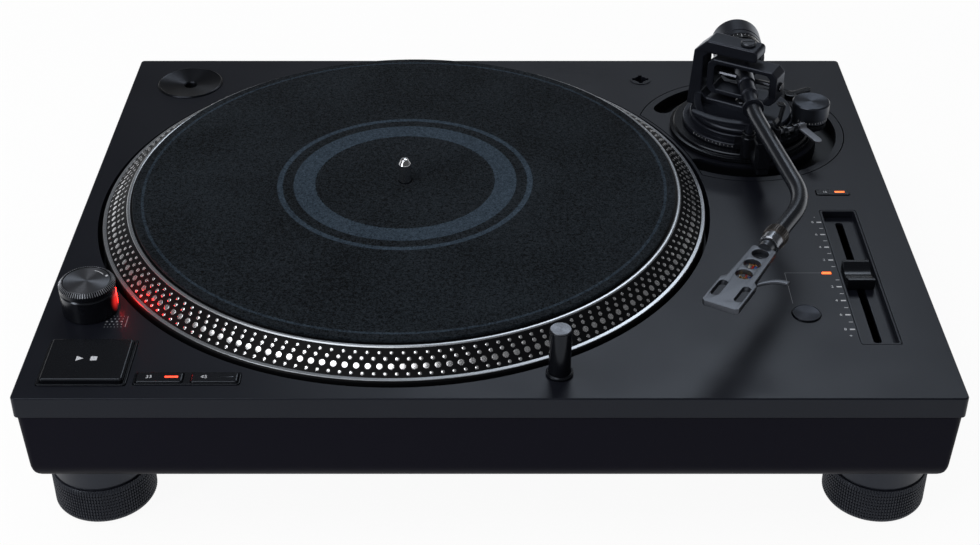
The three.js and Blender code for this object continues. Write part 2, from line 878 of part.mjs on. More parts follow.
// Motor stator: a base plate with the bearing tube and a circle of coils
function statorGeometry() {
  const plateLow = -wellDepth + seam;
  const plateTop = plateLow + statorPlate;
  const base = turned([
    [spindleRadius + seam, shaftLow - seam],
    [bearingRadius, shaftLow - seam],
    [bearingRadius, plateLow],
    [statorRadius, plateLow],
    [statorRadius, plateTop],
    [bearingRadius, plateTop],
    [bearingRadius, -rotorLow - seam],
    [spindleRadius + seam, -rotorLow - seam],
  ], midSides);
  const coils = [];
  for (let i = 0; i < coilCount; i += 1) {
    const middle = (i / coilCount) * 2 * Math.PI;
    const half = (Math.PI / coilCount) * 0.84;
    const eye = (Math.PI / coilCount) * 0.34;
    const band = (coilOuter - coilInner) / 3;
    coils.push(slab(
      bandPoints(coilInner, coilOuter, middle - half, middle + half, coilSteps),
      plateTop - seam,
      plateTop + coilHeight,
      [bandPoints(coilInner + band, coilOuter - band, middle - eye, middle + eye, 1)],
    ));
  }
  return joined(base, ...coils);
}
piece('motor_stator', statorGeometry(), finishes.copper, platterAxis);

// Record adaptor: a turned plug with a hollow top, seated in its dish
const adaptorOuter = dishRadius - seam;
const adaptorProfile = [
  [adaptorBore, -dishDepth + seam],
  [adaptorOuter - edgeBreak, -dishDepth + seam],
  [adaptorOuter, -dishDepth + seam + edgeBreak],
  [adaptorOuter, adaptorRise - edgeBreak],
  [adaptorOuter - edgeBreak, adaptorRise],
  [adaptorOuter - adaptorRim, adaptorRise],
  [adaptorOuter - 2 * adaptorRim, adaptorRise - 2 * edgeBreak],
  [adaptorOuter * 0.55, adaptorRise - adaptorHollow],
  [adaptorBore * 1.6, adaptorRise - adaptorHollow * 1.15],
  [adaptorBore, adaptorRise - adaptorHollow * 1.15],
];
const adaptor = piece('record_adaptor', turned(adaptorProfile, midSides), finishes.darkMetal, deckLevel);
adaptor.position.set(adaptorX, adaptorY, 0);

// Square buttons in their frames
function frameGeometry(width, depth, height, holes) {
  const outside = softBlock(width, depth, buttonCorner, [
    [-height, 0],
    [frameRise - edgeBreak / 2, 0],
    [frameRise, edgeBreak / 2],
  ]);
  return cut(outside, ...holes);
}

function buttonGeometry(width, depth, low, rise) {
  return softBlock(width, depth, buttonCorner, [
    [low, 0],
    [rise - buttonEdge, 0],
    [rise - buttonEdge / 3, buttonEdge / 3],
    [rise, buttonEdge],
  ]);
}

const startHoleWidth = startWidth - 2 * frameWall;
const startHoleDepth = startDepth - 2 * frameWall;
const startFloor = -frameDepth + frameWall;
const startFrame = piece('start_stop_frame', frameGeometry(startWidth, startDepth, frameDepth, [
  slab(boxPoints(startHoleWidth, startHoleDepth, buttonCorner), startFloor, overrun),
]), finishes.blackPlastic, deckLevel);
startFrame.position.set(startX, startY, 0);
const startButton = piece('start_stop_button', buttonGeometry(
  startHoleWidth - 2 * seam,
  startHoleDepth - 2 * seam,
  startFloor + buttonTravel + seam,
  startRise,
), finishes.blackPlastic, deckLevel);
startButton.position.copy(startFrame.position);

const speedHoleDepth = speedDepth - frameWall;
const speedHoleWidth = (speedWidth - frameWall - speedGap) / 2;
const speedShift = (speedHoleWidth + speedGap) / 2;
const speedFloor = -speedFrameDepth + frameWall;
const speedFrame = piece('speed_button_frame', frameGeometry(
  speedWidth,
  speedDepth,
  speedFrameDepth,
  [-1, 1].map((side) => slab(
    boxPoints(speedHoleWidth, speedHoleDepth, buttonCorner, side * speedShift),
    speedFloor,
    overrun,
  )),
), finishes.blackPlastic, deckLevel);
speedFrame.position.set(speedX, speedY, 0);
for (const [name, side] of [['speed_33_button', -1], ['speed_45_button', 1]]) {
  const button = piece(name, buttonGeometry(
    speedHoleWidth - 2 * seam,
    speedHoleDepth - 2 * seam,
    speedFloor + buttonTravel + seam,
    speedRise,
  ), finishes.blackPlastic, deckLevel);
  button.position.set(speedX + side * speedShift, speedY, 0);
}

// Strobe housing, its window, and the power knob on top
function windowPoints(clearance) {
  const halfSpan = windowSpan + clearance / powerRadius;
  const outer = powerRadius - (clearance > 0 ? -overrun : seam);
  const inner = powerRadius - windowThickness - clearance;
  return bandPoints(inner, outer, windowAngle - halfSpan, windowAngle + halfSpan, cornerSteps * 2);
}

const housingProfile = [
  [0, -housingDepth],
  [housingNeck, -housingDepth],
  [housingNeck, seam],
  [powerRadius, seam],
  [powerRadius, housingHeight - edgeBreak],
  [powerRadius - edgeBreak, housingHeight],
  [knobStem + seam, housingHeight],
  [knobStem + seam, housingHeight - knobStemLength - seam],
  [0, housingHeight - knobStemLength - seam],
];
const housing = piece('strobe_housing', cut(
  turned(housingProfile, midSides),
  slab(windowPoints(seam), windowLow - seam, windowHigh + seam),
), finishes.blackPlastic, deckLevel);
housing.position.set(powerX, powerY, 0);
const strobeWindow = piece('strobe_window', slab(windowPoints(0), windowLow, windowHigh), finishes.redLens, deckLevel);
strobeWindow.position.copy(housing.position);

const powerTop = housingHeight + seam + powerKnobHeight;
const powerKnobProfile = [
  [0, housingHeight - knobStemLength],
  [knobStem, housingHeight - knobStemLength],
  [knobStem, housingHeight + seam],
  [powerRadius, housingHeight + seam],
  [powerRadius, powerTop - powerBevel],
  [powerRadius - powerBevel, powerTop],
  [0, powerTop],
];
const powerKnob = piece('power_knob', turned(powerKnobProfile, midSides), finishes.steel, deckLevel);
powerKnob.position.copy(housing.position);

// Stylus light: a post that slides down through its collar
const collarProfile = [
  [lampRadius + seam, -collarDepth],
  [collarNeck, -collarDepth],
  [collarNeck, seam],
  [collarRadius, seam],
  [collarRadius, seam + collarHeight - edgeBreak],
  [collarRadius - edgeBreak, seam + collarHeight],
  [lampRadius + seam, seam + collarHeight],
];
const lampCollar = piece('light_collar', turned(collarProfile, smallSides), finishes.blackPlastic, deckLevel);
lampCollar.position.set(lampX, lampY, 0);
const lampProfile = [
  [0, -lampTail],
  [lampRadius, -lampTail],
  [lampRadius, lampTop - lampCap - lampGroove],
  [lampRadius - lampGroove, lampTop - lampCap - lampGroove],
  [lampRadius - lampGroove, lampTop - lampCap],
  [lampRadius, lampTop - lampCap],
  [lampRadius, lampTop - edgeBreak],
  [lampRadius - edgeBreak, lampTop],
  [0, lampTop],
];
const lamp = piece('stylus_light', turned(lampProfile, smallSides), finishes.darkMetal, deckLevel);
lamp.position.copy(lampCollar.position);

// Pitch fader: sunken panel with its slot, and a knob with a hollow between two ridges
function panelGeometry() {
  const outside = slab(boxPoints(pitchWidth, pitchLength, buttonCorner), -pitchSink - pitchFloor, 0);
  const hollow = slab(
    boxPoints(pitchWidth - 2 * pitchWall, pitchLength - 2 * pitchWall, pitchWall / 2),
    -pitchSink,
    overrun,
  );
  const slot = slab(slotPoints(slotLength, slotWidth), -pitchSink - pitchFloor - overrun, 0);
  slot.rotateZ(Math.PI / 2);
  return cut(outside, hollow, slot);
}
const panel = piece('pitch_panel', panelGeometry(), finishes.deck, deckLevel);
panel.position.set(pitchX, pitchY, 0);

function faderGeometry() {
  const half = faderLength / 2;
  const low = -pitchSink + 2 * seam;
  const steps = cornerSteps * 2;
  const valley = half - faderRidge;
  const profile = [
    new THREE.Vector2(-half, low),
    new THREE.Vector2(half, low),
    new THREE.Vector2(half, faderRise - edgeBreak),
    new THREE.Vector2(half - edgeBreak, faderRise),
  ];
  for (let i = 0; i <= steps; i += 1) {
    const share = 1 - (2 * i) / steps;
    profile.push(new THREE.Vector2(valley * share, faderRise - faderHollow * (1 - share * share)));
  }
  profile.push(new THREE.Vector2(edgeBreak - half, faderRise), new THREE.Vector2(-half, faderRise - edgeBreak));
  const cap = slab(profile, -faderWidth / 2, faderWidth / 2);
  cap.rotateX(Math.PI / 2).rotateZ(Math.PI / 2);
  const stemWidth = slotWidth - 3 * seam;
  const stem = slab(boxPoints(stemWidth, faderStem, stemWidth / 4), -faderDepth, faderRise - 2 * faderHollow + seam);
  return joined(cap, stem);
}
const fader = piece('pitch_fader_knob', faderGeometry(), finishes.blackPlastic, deckLevel);
fader.position.set(pitchX, pitchY, 0);

// Range button, reset button and zero lamp, each through its own hole in the deck
const flangeUnder = -deckPlate - seam;
const rangeButton = piece('pitch_range_button', joined(
  buttonGeometry(rangeWidth, rangeDepth, flangeUnder - buttonFlangeHeight / 2, rangeRise),
  slab(
    boxPoints(rangeWidth + 2 * buttonFlange, rangeDepth + 2 * buttonFlange, buttonCorner),
    flangeUnder - buttonFlangeHeight,
    flangeUnder,
  ),
), finishes.blackPlastic, deckLevel);
rangeButton.position.set(rangeX, rangeY, 0);

const resetProfile = [
  [0, flangeUnder - buttonFlangeHeight],
  [resetRadius + buttonFlange, flangeUnder - buttonFlangeHeight],
  [resetRadius + buttonFlange, flangeUnder],
  [resetRadius, flangeUnder],
  [resetRadius, resetRise - edgeBreak],
  [resetRadius - edgeBreak, resetRise],
  [resetRadius * 0.6, resetRise - resetHollow * 0.8],
  [0, resetRise - resetHollow],
];
const resetButton = piece('reset_button', turned(resetProfile, smallSides), finishes.darkMetal, deckLevel);
resetButton.position.set(resetX, resetY, 0);

const zeroLens = piece('zero_lens', softBlock(zeroWidth, zeroDepth, zeroDepth / 3, [
  [-deckPlate, 0],
  [zeroRise, 0],
]), finishes.amberLens, deckLevel);
zeroLens.position.set(zeroX, zeroY, 0);

// Holder for a spare headshell: a flanged cup with four notches
function holderGeometry() {
  const cup = turned([
    [0, -holderDepth],
    [holderNeck, -holderDepth],
    [holderNeck, seam],
    [holderFlange, seam],
    [holderFlange, holderRise + seam],
    [holderBore, holderRise + seam],
    [holderBore, -holderDepth + holderFloor],
    [0, -holderDepth + holderFloor],
  ], midSides);
  const notches = [0, 1].map((turn) => {
    const bar = slab(boxPoints(2 * notchReach, notchWidth, notchWidth / 4), -notchDepth, overrun);
    return bar.rotateZ((turn * Math.PI) / 2);
  });
  return cut(cup, ...notches);
}
const holder = piece('headshell_holder', holderGeometry(), finishes.blackPlastic, deckLevel);
holder.position.set(holderX, holderY, 0);

// Arm base plate: a disc beside the platter well, with a round-ended channel about the height ring
function basePlateGeometry() {
  const disc = slab(circlePoints(baseRadius, bigSides), -baseThickness, 0, [circlePoints(baseBore, midSides)]);
  const channel = slab(
    bandPoints(channelInner, channelOuter, channelStart, channelEnd, midSides, true),
    -channelDepth,
    overrun,
  );
  const wellWallRound = pillar(
    wellRadius + wellWall + baseGroove,
    -baseThickness - overrun,
    overrun,
    bigSides,
    platterX - pivotX,
    platterY - pivotY,
  );
  return cut(disc, channel, wellWallRound);
}
piece('arm_base_plate', basePlateGeometry(), finishes.deck, armAxis);

// Height ring: turned by hand to raise the turret
const heightRingProfile = [
  [turretSleeve + runningGap, seam],
  [ringRadius - edgeBreak, seam],
  [ringRadius, seam + edgeBreak],
  [ringRadius, ringBand],
  [ringTopRadius, ringBand + edgeBreak],
  [ringTopRadius, ringTop - edgeBreak],
  [ringTopRadius - edgeBreak, ringTop],
  [turretSleeve + runningGap, ringTop],
];
piece('arm_height_ring', turned(heightRingProfile, midSides), finishes.blackPlastic, armAxis);

const turretProfile = [
  [0, -turretDepth],
  [turretSleeve, -turretDepth],
  [turretSleeve, ringTop + seam],
  [stepRadius, ringTop + seam],
  [stepRadius, stepTop - edgeBreak],
  [stepRadius - edgeBreak, stepTop],
  [drumRadius, stepTop],
  [drumRadius, drumTop - edgeBreak],
  [drumRadius - edgeBreak, drumTop],
  [0, drumTop],
];
piece('arm_turret', turned(turretProfile, midSides), finishes.darkMetal, armAxis);

// Yoke: a C that stands on the turret and holds the upright pivots of the gimbal
function yokeGeometry() {
  const steps = cornerSteps;
  const profile = [
    new THREE.Vector2(-yokeReach - yokeFlare, flangeLow),
    new THREE.Vector2(yokeEnd, flangeLow),
    new THREE.Vector2(yokeEnd, yokeFloor - edgeBreak),
    new THREE.Vector2(yokeEnd - edgeBreak, yokeFloor),
    new THREE.Vector2(yokeInnerChamfer - yokeInner, yokeFloor),
    new THREE.Vector2(-yokeInner, yokeFloor + yokeInnerChamfer),
    new THREE.Vector2(-yokeInner, yokeCeiling - yokeInnerChamfer),
    new THREE.Vector2(yokeInnerChamfer - yokeInner, yokeCeiling),
    ...arcPoints(yokeArm / 3, -Math.PI / 2, 0, steps, yokeEnd - yokeArm / 3, yokeCeiling + yokeArm / 3),
    ...arcPoints(yokeArm / 3, 0, Math.PI / 2, steps, yokeEnd - yokeArm / 3, yokeTop - yokeArm / 3),
    new THREE.Vector2(yokeChamfer - yokeReach, yokeTop),
    new THREE.Vector2(-yokeReach, yokeTop - yokeChamfer),
  ];
  const arch = upright(slab(profile, -yokeHalf, yokeHalf));
  const foot = turned([
    [0, flangeLow],
    [flangeRadius - edgeBreak, flangeLow],
    [flangeRadius, flangeLow + edgeBreak],
    [flangeRadius, flangeTop - edgeBreak],
    [flangeRadius - edgeBreak, flangeTop],
    [0, flangeTop],
  ], midSides);
  const lowerPivot = turned([
    [0, yokeFloor - edgeBreak],
    [screwHead, yokeFloor - edgeBreak],
    [screwTip, gimbalLow - seam],
    [0, gimbalLow - seam],
  ], pinSides);
  const screwHole = pillar(screwRadius + runningGap, yokeCeiling - overrun, yokeTop + overrun, pinSides);
  return cut(joined(arch, foot, lowerPivot), screwHole);
}
piece('arm_yoke', yokeGeometry(), finishes.darkMetal, gimbalPlane);

const screwProfile = [
  [0, gimbalHigh + seam],
  [screwTip, gimbalHigh + seam],
  [screwRadius, gimbalHigh + seam + screwRadius - screwTip],
  [screwRadius, yokeTop + seam],
  [screwHead, yokeTop + seam],
  [screwHead, yokeTop + seam + screwHeadHeight - edgeBreak],
  [screwHead - edgeBreak, yokeTop + seam + screwHeadHeight],
  [0, yokeTop + seam + screwHeadHeight],
];
piece('pivot_screw', turned(screwProfile, smallSides), finishes.steel, gimbalPlane);

// Gimbal ring: a square frame about the arm hub
function gimbalGeometry() {
  const windowHalf = ringHalf - gimbalPost;
  const windowRise = gimbalRise - gimbalBeam;
  const frame = upright(slab(
    boxPoints(2 * ringHalf, 2 * gimbalRise, gimbalChamfer, 0, 0, chamferSteps),
    -gimbalHalf,
    gimbalHalf,
    [boxPoints(2 * windowHalf, 2 * windowRise, gimbalInnerChamfer, 0, 0, chamferSteps)],
  ));
  const bore = turnedAlong([
    [0, -ringHalf - overrun],
    [shaftRadius + runningGap, -ringHalf - overrun],
    [shaftRadius + runningGap, ringHalf + overrun],
    [0, ringHalf + overrun],
  ], pinSides);
  return cut(frame, bore).translate(0, 0, tubeHeight);
}
piece('gimbal_ring', gimbalGeometry(), finishes.darkMetal, gimbalPlane);

const headStart = ringHalf + seam;
const shaftProfile = [
  [0, -ringHalf + seam],
  [shaftRadius, -ringHalf + seam],
  [shaftRadius, headStart],
  [shaftHead, headStart],
  [shaftHead, headStart + shaftHeadLength],
  [0, headStart + shaftHeadLength],
];
const pivotShaft = piece('pivot_shaft', turnedAlong(shaftProfile, pinSides), finishes.steel, gimbalPlane);
pivotShaft.position.z = tubeHeight;

// Arm hub: a turned body bored for the pivot shaft, with the stub of the counterweight behind
function hubGeometry() {
  const sleeveStart = hubMiddleHalf + edgeBreak;
  const sleeveEnd = sleeveStart + hubSleeveLength;
  const flangeEnd = tubeStart - seam;
  const flangeStart = flangeEnd - hubFlangeLength;
  const rearBody = -hubMiddleHalf - hubRearLength;
  const body = turnedAlong([
    [0, -rearEnd],
    [rearStub, -rearEnd],
    [rearStub, rearBody - edgeBreak],
    [hubRearBody, rearBody],
    [hubRearBody, -hubMiddleHalf],
    [hubMiddle, -hubMiddleHalf + edgeBreak],
    [hubMiddle, hubMiddleHalf],
    [hubSleeve, sleeveStart],
    [hubSleeveEnd, sleeveEnd],
    [hubNeck, sleeveEnd + edgeBreak],
    [hubNeck, flangeStart],
    [hubFlange, flangeStart],
    [hubFlange, flangeEnd],
    [0, flangeEnd],
  ], smallSides);
  const across = 2 * hubMiddle;
  const bore = turnedAlong([
    [0, -across],
    [shaftRadius + runningGap, -across],
    [shaftRadius + runningGap, across],
    [0, across],
  ], pinSides);
  return cut(body, bore.rotateZ(gimbalAngle - armHeading));
}
piece('arm_hub', hubGeometry(), finishes.darkMetal, armLine);

// The arm's centre line: straight stretches and bends, followed by distance
class BentLine extends THREE.Curve {
  constructor(stretches) {
    super();
    this.stretches = stretches;
    this.total = stretches.reduce((sum, stretch) => sum + stretch.length, 0);
  }

  along(distance) {
    const place = new THREE.Vector3();
    let heading = 0;
    let left = distance;
    for (const { length, turn } of this.stretches) {
      const used = Math.min(left, length);
      const turned = (turn * used) / length;
      if (turn === 0) {
        place.x += used * Math.cos(heading);
        place.y += used * Math.sin(heading);
      } else {
        const radius = length / turn;
        place.x += radius * (Math.sin(heading + turned) - Math.sin(heading));
        place.y -= radius * (Math.cos(heading + turned) - Math.cos(heading));
      }
      heading += turned;
      left -= used;
    }
    return { place, heading };
  }

  getPoint(share, target = new THREE.Vector3()) {
    return target.copy(this.along(share * this.total).place);
  }
}

const stretch = (length) => ({ length, turn: 0 });
const bend = (radius, turn) => ({ length: radius * Math.abs(turn), turn });
const armCurve = new BentLine([
  stretch(tubeStraight),
  bend(firstBendRadius, firstBendTurn),
  stretch(tubeMiddle),
  bend(secondBendRadius, secondBendTurn),
  stretch(tubeTail),
]);

// Rows for the tube's section: close together in the bends, and one at each end of a straight
function tubeRows() {
  const rows = [];
  let start = 0;
  for (const { length, turn } of armCurve.stretches) {
    const steps = turn === 0 ? 1 : Math.ceil(Math.abs(turn) / bendStep);
    for (let i = 0; i < steps; i += 1) rows.push(Math.max(start + (length * i) / steps, tubeStart));
    start += length;
  }
  return [...rows, armCurve.total];
}

class TubeLine extends THREE.Curve {
  constructor() {
    super();
    this.rows = tubeRows();
  }

  getUtoTmapping(share) {
    return share;
  }

  getPoint(share, target = new THREE.Vector3()) {
    const place = share * (this.rows.length - 1);
    const row = Math.min(Math.floor(place), this.rows.length - 2);
    const distance = THREE.MathUtils.lerp(this.rows[row], this.rows[row + 1], place - row);
    return target.copy(armCurve.along(distance).place);
  }
}

const tubeEnd = armCurve.along(armCurve.total);
headLine.position.copy(tubeEnd.place);
headLine.rotation.z = tubeEnd.heading;
const plateAt = plateFromTube;

function tubeGeometry() {
  const section = new THREE.Shape(circlePoints(tubeRadius, tubeSides));
  const line = new TubeLine();
  const tube = new THREE.ExtrudeGeometry(section, { extrudePath: line, steps: line.rows.length - 1 });
  const socket = turnedAlong([
    [0, plateAt - plugLength - 2 * seam],
    [plugRadius + seam, plateAt - plugLength - 2 * seam],
    [plugRadius + seam, overrun],
    [0, overrun],
  ], smallSides);
  socket.rotateZ(tubeEnd.heading).translate(tubeEnd.place.x, tubeEnd.place.y, 0);
  return cut(tube, socket);
}
piece('arm_tube', tubeGeometry(), finishes.darkMetal, armLine);

// Locking collar over the end of the tube
const collarSteps = [
  [tubeRadius + seam, plateAt - collarBack],
  [collarOuter, plateAt - collarBack],
  [collarOuter, plateAt - collarBack + collarRing],
  [collarFront, plateAt - collarBack + collarRing + edgeBreak],
  [collarFront, plateAt - collarNose - edgeBreak],
  [collarFront - edgeBreak, plateAt - collarNose],
  [plugRadius + seam, plateAt - collarNose],
  [plugRadius + seam, plateAt - collarNose - collarLip],
  [tubeRadius + seam, plateAt - collarNose - collarLip],
];
piece('locking_collar', turnedAlong(collarSteps, smallSides), finishes.darkMetal, headLine);

// Headshell: a plate with three holes and two slots, on the plug that enters the arm
function headshellGeometry() {
  const low = -shellThickness / 2;
  const high = shellThickness / 2;
  const outline = [
    new THREE.Vector2(0, -shellRear / 2),
    new THREE.Vector2(shellNeckEnd, -shellNeck / 2),
    new THREE.Vector2(shellShoulder, -shellFront / 2),
    new THREE.Vector2(shellLength - shellChamfer, -shellFront / 2),
    new THREE.Vector2(shellLength, shellChamfer - shellFront / 2),
    new THREE.Vector2(shellLength, shellFront / 2 - shellChamfer),
    new THREE.Vector2(shellLength - shellChamfer, shellFront / 2),
    new THREE.Vector2(shellShoulder, shellFront / 2),
    new THREE.Vector2(shellNeckEnd, shellNeck / 2),
    new THREE.Vector2(0, shellRear / 2),
  ];
  const holes = [];
  for (let i = 0; i < shellHoles; i += 1) {
    holes.push(circlePoints(shellHole, slimSides, shellHoleFirst + i * shellHolePitch));
  }
  for (const side of [-1, 1]) {
    const slotY = (side * shellSlotApart) / 2;
    holes.push(slotPoints(shellSlotLength, shellSlotWidth, shellSlotAt, slotY));
  }
  const plate = slab(outline, low, high, holes).translate(plateAt, 0, 0);
  const boss = slab(
    boxPoints(shellBossLength, 2 * shellBossHalf, edgeBreak),
    -shellBoss,
    low + seam,
  ).translate(plateAt + shellBossLength / 2 - seam, 0, 0);
  const plug = turnedAlong([
    [0, plateAt - plugLength],
    [plugRadius, plateAt - plugLength],
    [plugRadius, plateAt - plugCollarLength],
    [plugCollar, plateAt - plugCollarLength],
    [plugCollar, plateAt + seam],
    [0, plateAt + seam],
  ], smallSides);
  return joined(plate, boss, plug);
}
piece('headshell', headshellGeometry(), finishes.shell, headLine);

function fingerGeometry() {
  const left = [];
  const right = [];
  for (let i = 0; i <= fingerSteps; i += 1) {
    const share = i / fingerSteps;
    const forward = fingerAt - fingerBack * share + fingerBow * Math.sin(Math.PI * share);
    const sideways = shellNeck / 2 + seam + fingerReach * share;
    left.push(new THREE.Vector2(forward - fingerWidth / 2, sideways));
    right.unshift(new THREE.Vector2(forward + fingerWidth / 2, sideways));
  }
  const low = -shellThickness / 2;
  return slab([...left, ...right].reverse(), low, low + fingerThickness).translate(plateAt, 0, 0);
}
piece('finger_lift', fingerGeometry(), finishes.shell, headLine);

// Counterweight on its threaded sleeve, and the dial in front of it
const weightRear = weightFront + weightLength;
const bossFront = weightFront - weightBossLength;
piece('weight_sleeve', turnedAlong([
  [rearStub + seam, seam + weightRecess - weightRear],
  [sleeveOuter, seam + weightRecess - weightRear],
  [sleeveOuter, -weightFront],
  [rearStub + seam, -weightFront],
], smallSides), finishes.steel, armLine);
piece('counterweight', turnedAlong([
  [sleeveOuter + seam, weightRecess - weightRear],
  [weightRecessRadius, weightRecess - weightRear],
  [weightRecessRadius, -weightRear],
  [weightRadius - edgeBreak, -weightRear],
  [weightRadius, edgeBreak - weightRear],
  [weightRadius, -weightFront],
  [weightBoss, -weightFront],
  [weightBoss, -bossFront],
  [sleeveOuter + seam, -bossFront],
], midSides), finishes.darkMetal, armLine);
piece('weight_dial', turnedAlong([
  [weightBoss + seam, seam - weightFront],
  [dialRadius, seam - weightFront],
  [dialRadius, seam - weightFront + dialLength - dialStep],
  [dialStepRadius, seam - weightFront + dialLength],
  [weightBoss + seam, seam - weightFront + dialLength],
], midSides), finishes.blackPlastic, armLine);

// Arm bracket: clamps about the drum and carries the lift, the cue lever, the rest and the anti-skate knob
const cuePlace = new THREE.Matrix4().makeRotationZ(cueAngle).setPosition(cueX, cueY, cueHeight);
const restPoint = armCurve.along(restDistance);
const restTurn = armHeading + restPoint.heading;
restPlace.position.set(
  restPoint.place.x * Math.cos(armHeading) - restPoint.place.y * Math.sin(armHeading),
  restPoint.place.x * Math.sin(armHeading) + restPoint.place.y * Math.cos(armHeading),
  tubeHeight,
);
restPlace.rotation.z = restTurn + Math.PI / 2;

function bracketGeometry() {
  const band = slab(
    bandPoints(drumRadius + seam, bracketOuter, bracketStart, bracketEnd, midSides / 2, false),
    bracketLow,
    bracketHigh,
  );
  const pad = pillar(skatePad, bracketLow, bracketHigh, smallSides, skateX, skateY);
  const lockX = lockAt * Math.cos(lockAngle);
  const lockY = lockAt * Math.sin(lockAngle);
  const pin = pillar(lockPin, bracketHigh - seam, bracketHigh + seam + lockHeight, pinSides, lockX, lockY);
  const beamEnd = Math.hypot(restPlace.position.x, restPlace.position.y) + restLength / 2;
  const beamLength = beamEnd - drumRadius - restWall;
  const beam = slab(boxPoints(beamLength, restBeam, edgeBreak), bracketLow, bracketHigh)
    .translate(beamEnd - beamLength / 2, 0, 0)
    .rotateZ(Math.atan2(restPlace.position.y, restPlace.position.x));
  const barrel = slab(circlePoints(liftBarrel, smallSides, liftX, liftY), liftLow, liftHigh);
  const barrelBore = pillar(liftPost + runningGap, liftLow - overrun, liftHigh + overrun, pinSides, liftX, liftY);
  const ears = [earNear, earFar].map((distance) => {
    const height = cueHubRadius + cueHeight - bracketHigh + seam;
    const ear = new THREE.BoxGeometry(earThickness, 2 * earHalf, height);
    ear.translate(-distance, 0, cueHubRadius - height / 2);
    return ear.applyMatrix4(cuePlace);
  });
  const shaftBore = turnedAlong([
    [0, -cueShaftLength - overrun],
    [cueShaft + seam, -cueShaftLength - overrun],
    [cueShaft + seam, 0],
    [0, 0],
  ], pinSides).applyMatrix4(cuePlace);
  const stemBore = pillar(skateStem + seam, bracketLow - overrun, bracketHigh + overrun, slimSides, skateX, skateY);
  const drum = pillar(drumRadius + seam, bracketLow - overrun, bracketHigh + overrun, midSides);
  return cut(joined(band, pad, pin, beam, barrel, ...ears), barrelBore, shaftBore, stemBore, drum);
}
piece('arm_bracket', bracketGeometry(), finishes.blackPlastic, armAxis);

// Anti-skate knob: knurled side, hollow spun top, and a stem in the bracket
const skateLow = bracketHigh + seam;
const skateProfile = [
  [0, skateLow - skateStemLength],
  [skateStem, skateLow - skateStemLength],
  [skateStem, skateLow],
  [skateSkirtRadius, skateLow],
  [skateSkirtRadius, skateLow + skateSkirt],
  [skateRadius, skateLow + skateSkirt],
  [skateRadius, skateTop - edgeBreak],
  [skateRadius - edgeBreak, skateTop],
  [skateRadius * 0.86, skateTop],
  [skateRadius * 0.3, skateTop - skateHollow],
  [0, skateTop - skateHollow],
];
const skateKnob = piece('anti_skate_knob', turned(skateProfile, smallSides), finishes.darkMetal, armAxis);
skateKnob.position.set(skateX, skateY, 0);

// Cue lever: a shaft in the bracket's ears, with the finger blade at its end
function cueGeometry() {
  const shaft = turnedAlong([
    [0, -cueShaftLength],
    [cueShaft, -cueShaftLength],
    [cueShaft, -earNear + earThickness],
    [cueHubRadius, -earNear + earThickness],
    [cueHubRadius, cueBladeWidth / 2],
    [0, cueBladeWidth / 2],
  ], pinSides);
  const blade = slab(
    slotPoints(cueBladeLength, cueBladeWidth),
    -cueBladeThickness / 2,
    cueBladeThickness / 2,
  ).translate(cueBladeLength / 2, 0, 0).rotateZ(-Math.PI / 2);
  return joined(shaft, blade);
}
const cueLever = piece('cue_lever', cueGeometry(), finishes.shell, armAxis);
cueLever.applyMatrix4(cuePlace);

// Cue lift: a post in the bracket's barrel, with the curved bar that raises the tube
function liftGeometry() {
  const post = pillar(liftPost, liftPostLow, liftBarTop - liftBarHeight / 2, pinSides, liftX, liftY);
  const bar = slab(
    bandPoints(liftBarInner, liftBarOuter, liftBarStart, liftBarEnd, smallSides / 2),
    liftBarTop - liftBarHeight,
    liftBarTop,
  );
  return joined(post, bar);
}
piece('cue_lift', liftGeometry(), finishes.darkMetal, armAxis);

// Arm rest: a post with a cradle open towards the platter, and its clip
const seatRadius = tubeRadius + restGap;
const wallOuter = seatRadius + restWall;
function restGeometry() {
  const floor = bracketHigh + seam - tubeHeight;
  const profile = [
    new THREE.Vector2(-restPost / 2, floor),
    new THREE.Vector2(restPost / 2, floor),
    new THREE.Vector2(restPost / 2, -seatRadius - 2 * restCradle),
    new THREE.Vector2(wallOuter, -seatRadius - restCradle / 2),
    new THREE.Vector2(wallOuter, restRise),
    new THREE.Vector2(seatRadius, restRise),
    ...arcPoints(seatRadius, 0, -Math.PI / 2, restSeatSteps),
    new THREE.Vector2(-restLeft, -seatRadius),
    new THREE.Vector2(-restLeft, -seatRadius - restCradle / 2),
    new THREE.Vector2(-restPost / 2, -seatRadius - restCradle),
  ];
  const body = upright(slab(profile, -restLength / 2, restLength / 2));
  const lugX = seatRadius + restWall / 2;
  const lug = upright(slab([
    new THREE.Vector2(lugX - clipPin, restRise - seam),
    new THREE.Vector2(lugX + clipPin, restRise - seam),
    new THREE.Vector2(lugX + clipPin, restRise + seam + clipRise),
    new THREE.Vector2(lugX - clipPin, restRise + seam + clipRise),
  ], clipLength / 2 + seam, restLength / 2));
  return joined(body, lug);
}
piece('arm_rest', restGeometry(), finishes.blackPlastic, restPlace);

const clipAxisX = seatRadius + restWall / 2;
const clipAxisZ = seatRadius + clipThickness - clipRise / 2;
function clipGeometry() {
  const reach = clipAxisX + seatRadius;
  const top = clipRise / 2;
  const profile = [
    new THREE.Vector2(clipPin, -top),
    new THREE.Vector2(clipPin, top),
    new THREE.Vector2(-reach - clipThickness, top),
    new THREE.Vector2(-reach - clipThickness, top - clipLip),
    new THREE.Vector2(-reach, top - clipLip),
    new THREE.Vector2(-reach, top - clipThickness),
    new THREE.Vector2(-restWall, top - clipThickness),
    new THREE.Vector2(-clipPin, -top),
  ].reverse();
  return upright(slab(profile, -clipLength / 2, clipLength / 2));
}
const clip = piece('arm_rest_clip', clipGeometry(), finishes.blackPlastic, restPlace);
clip.position.set(clipAxisX, 0, clipAxisZ);
clip.rotation.y = -clipOpen;

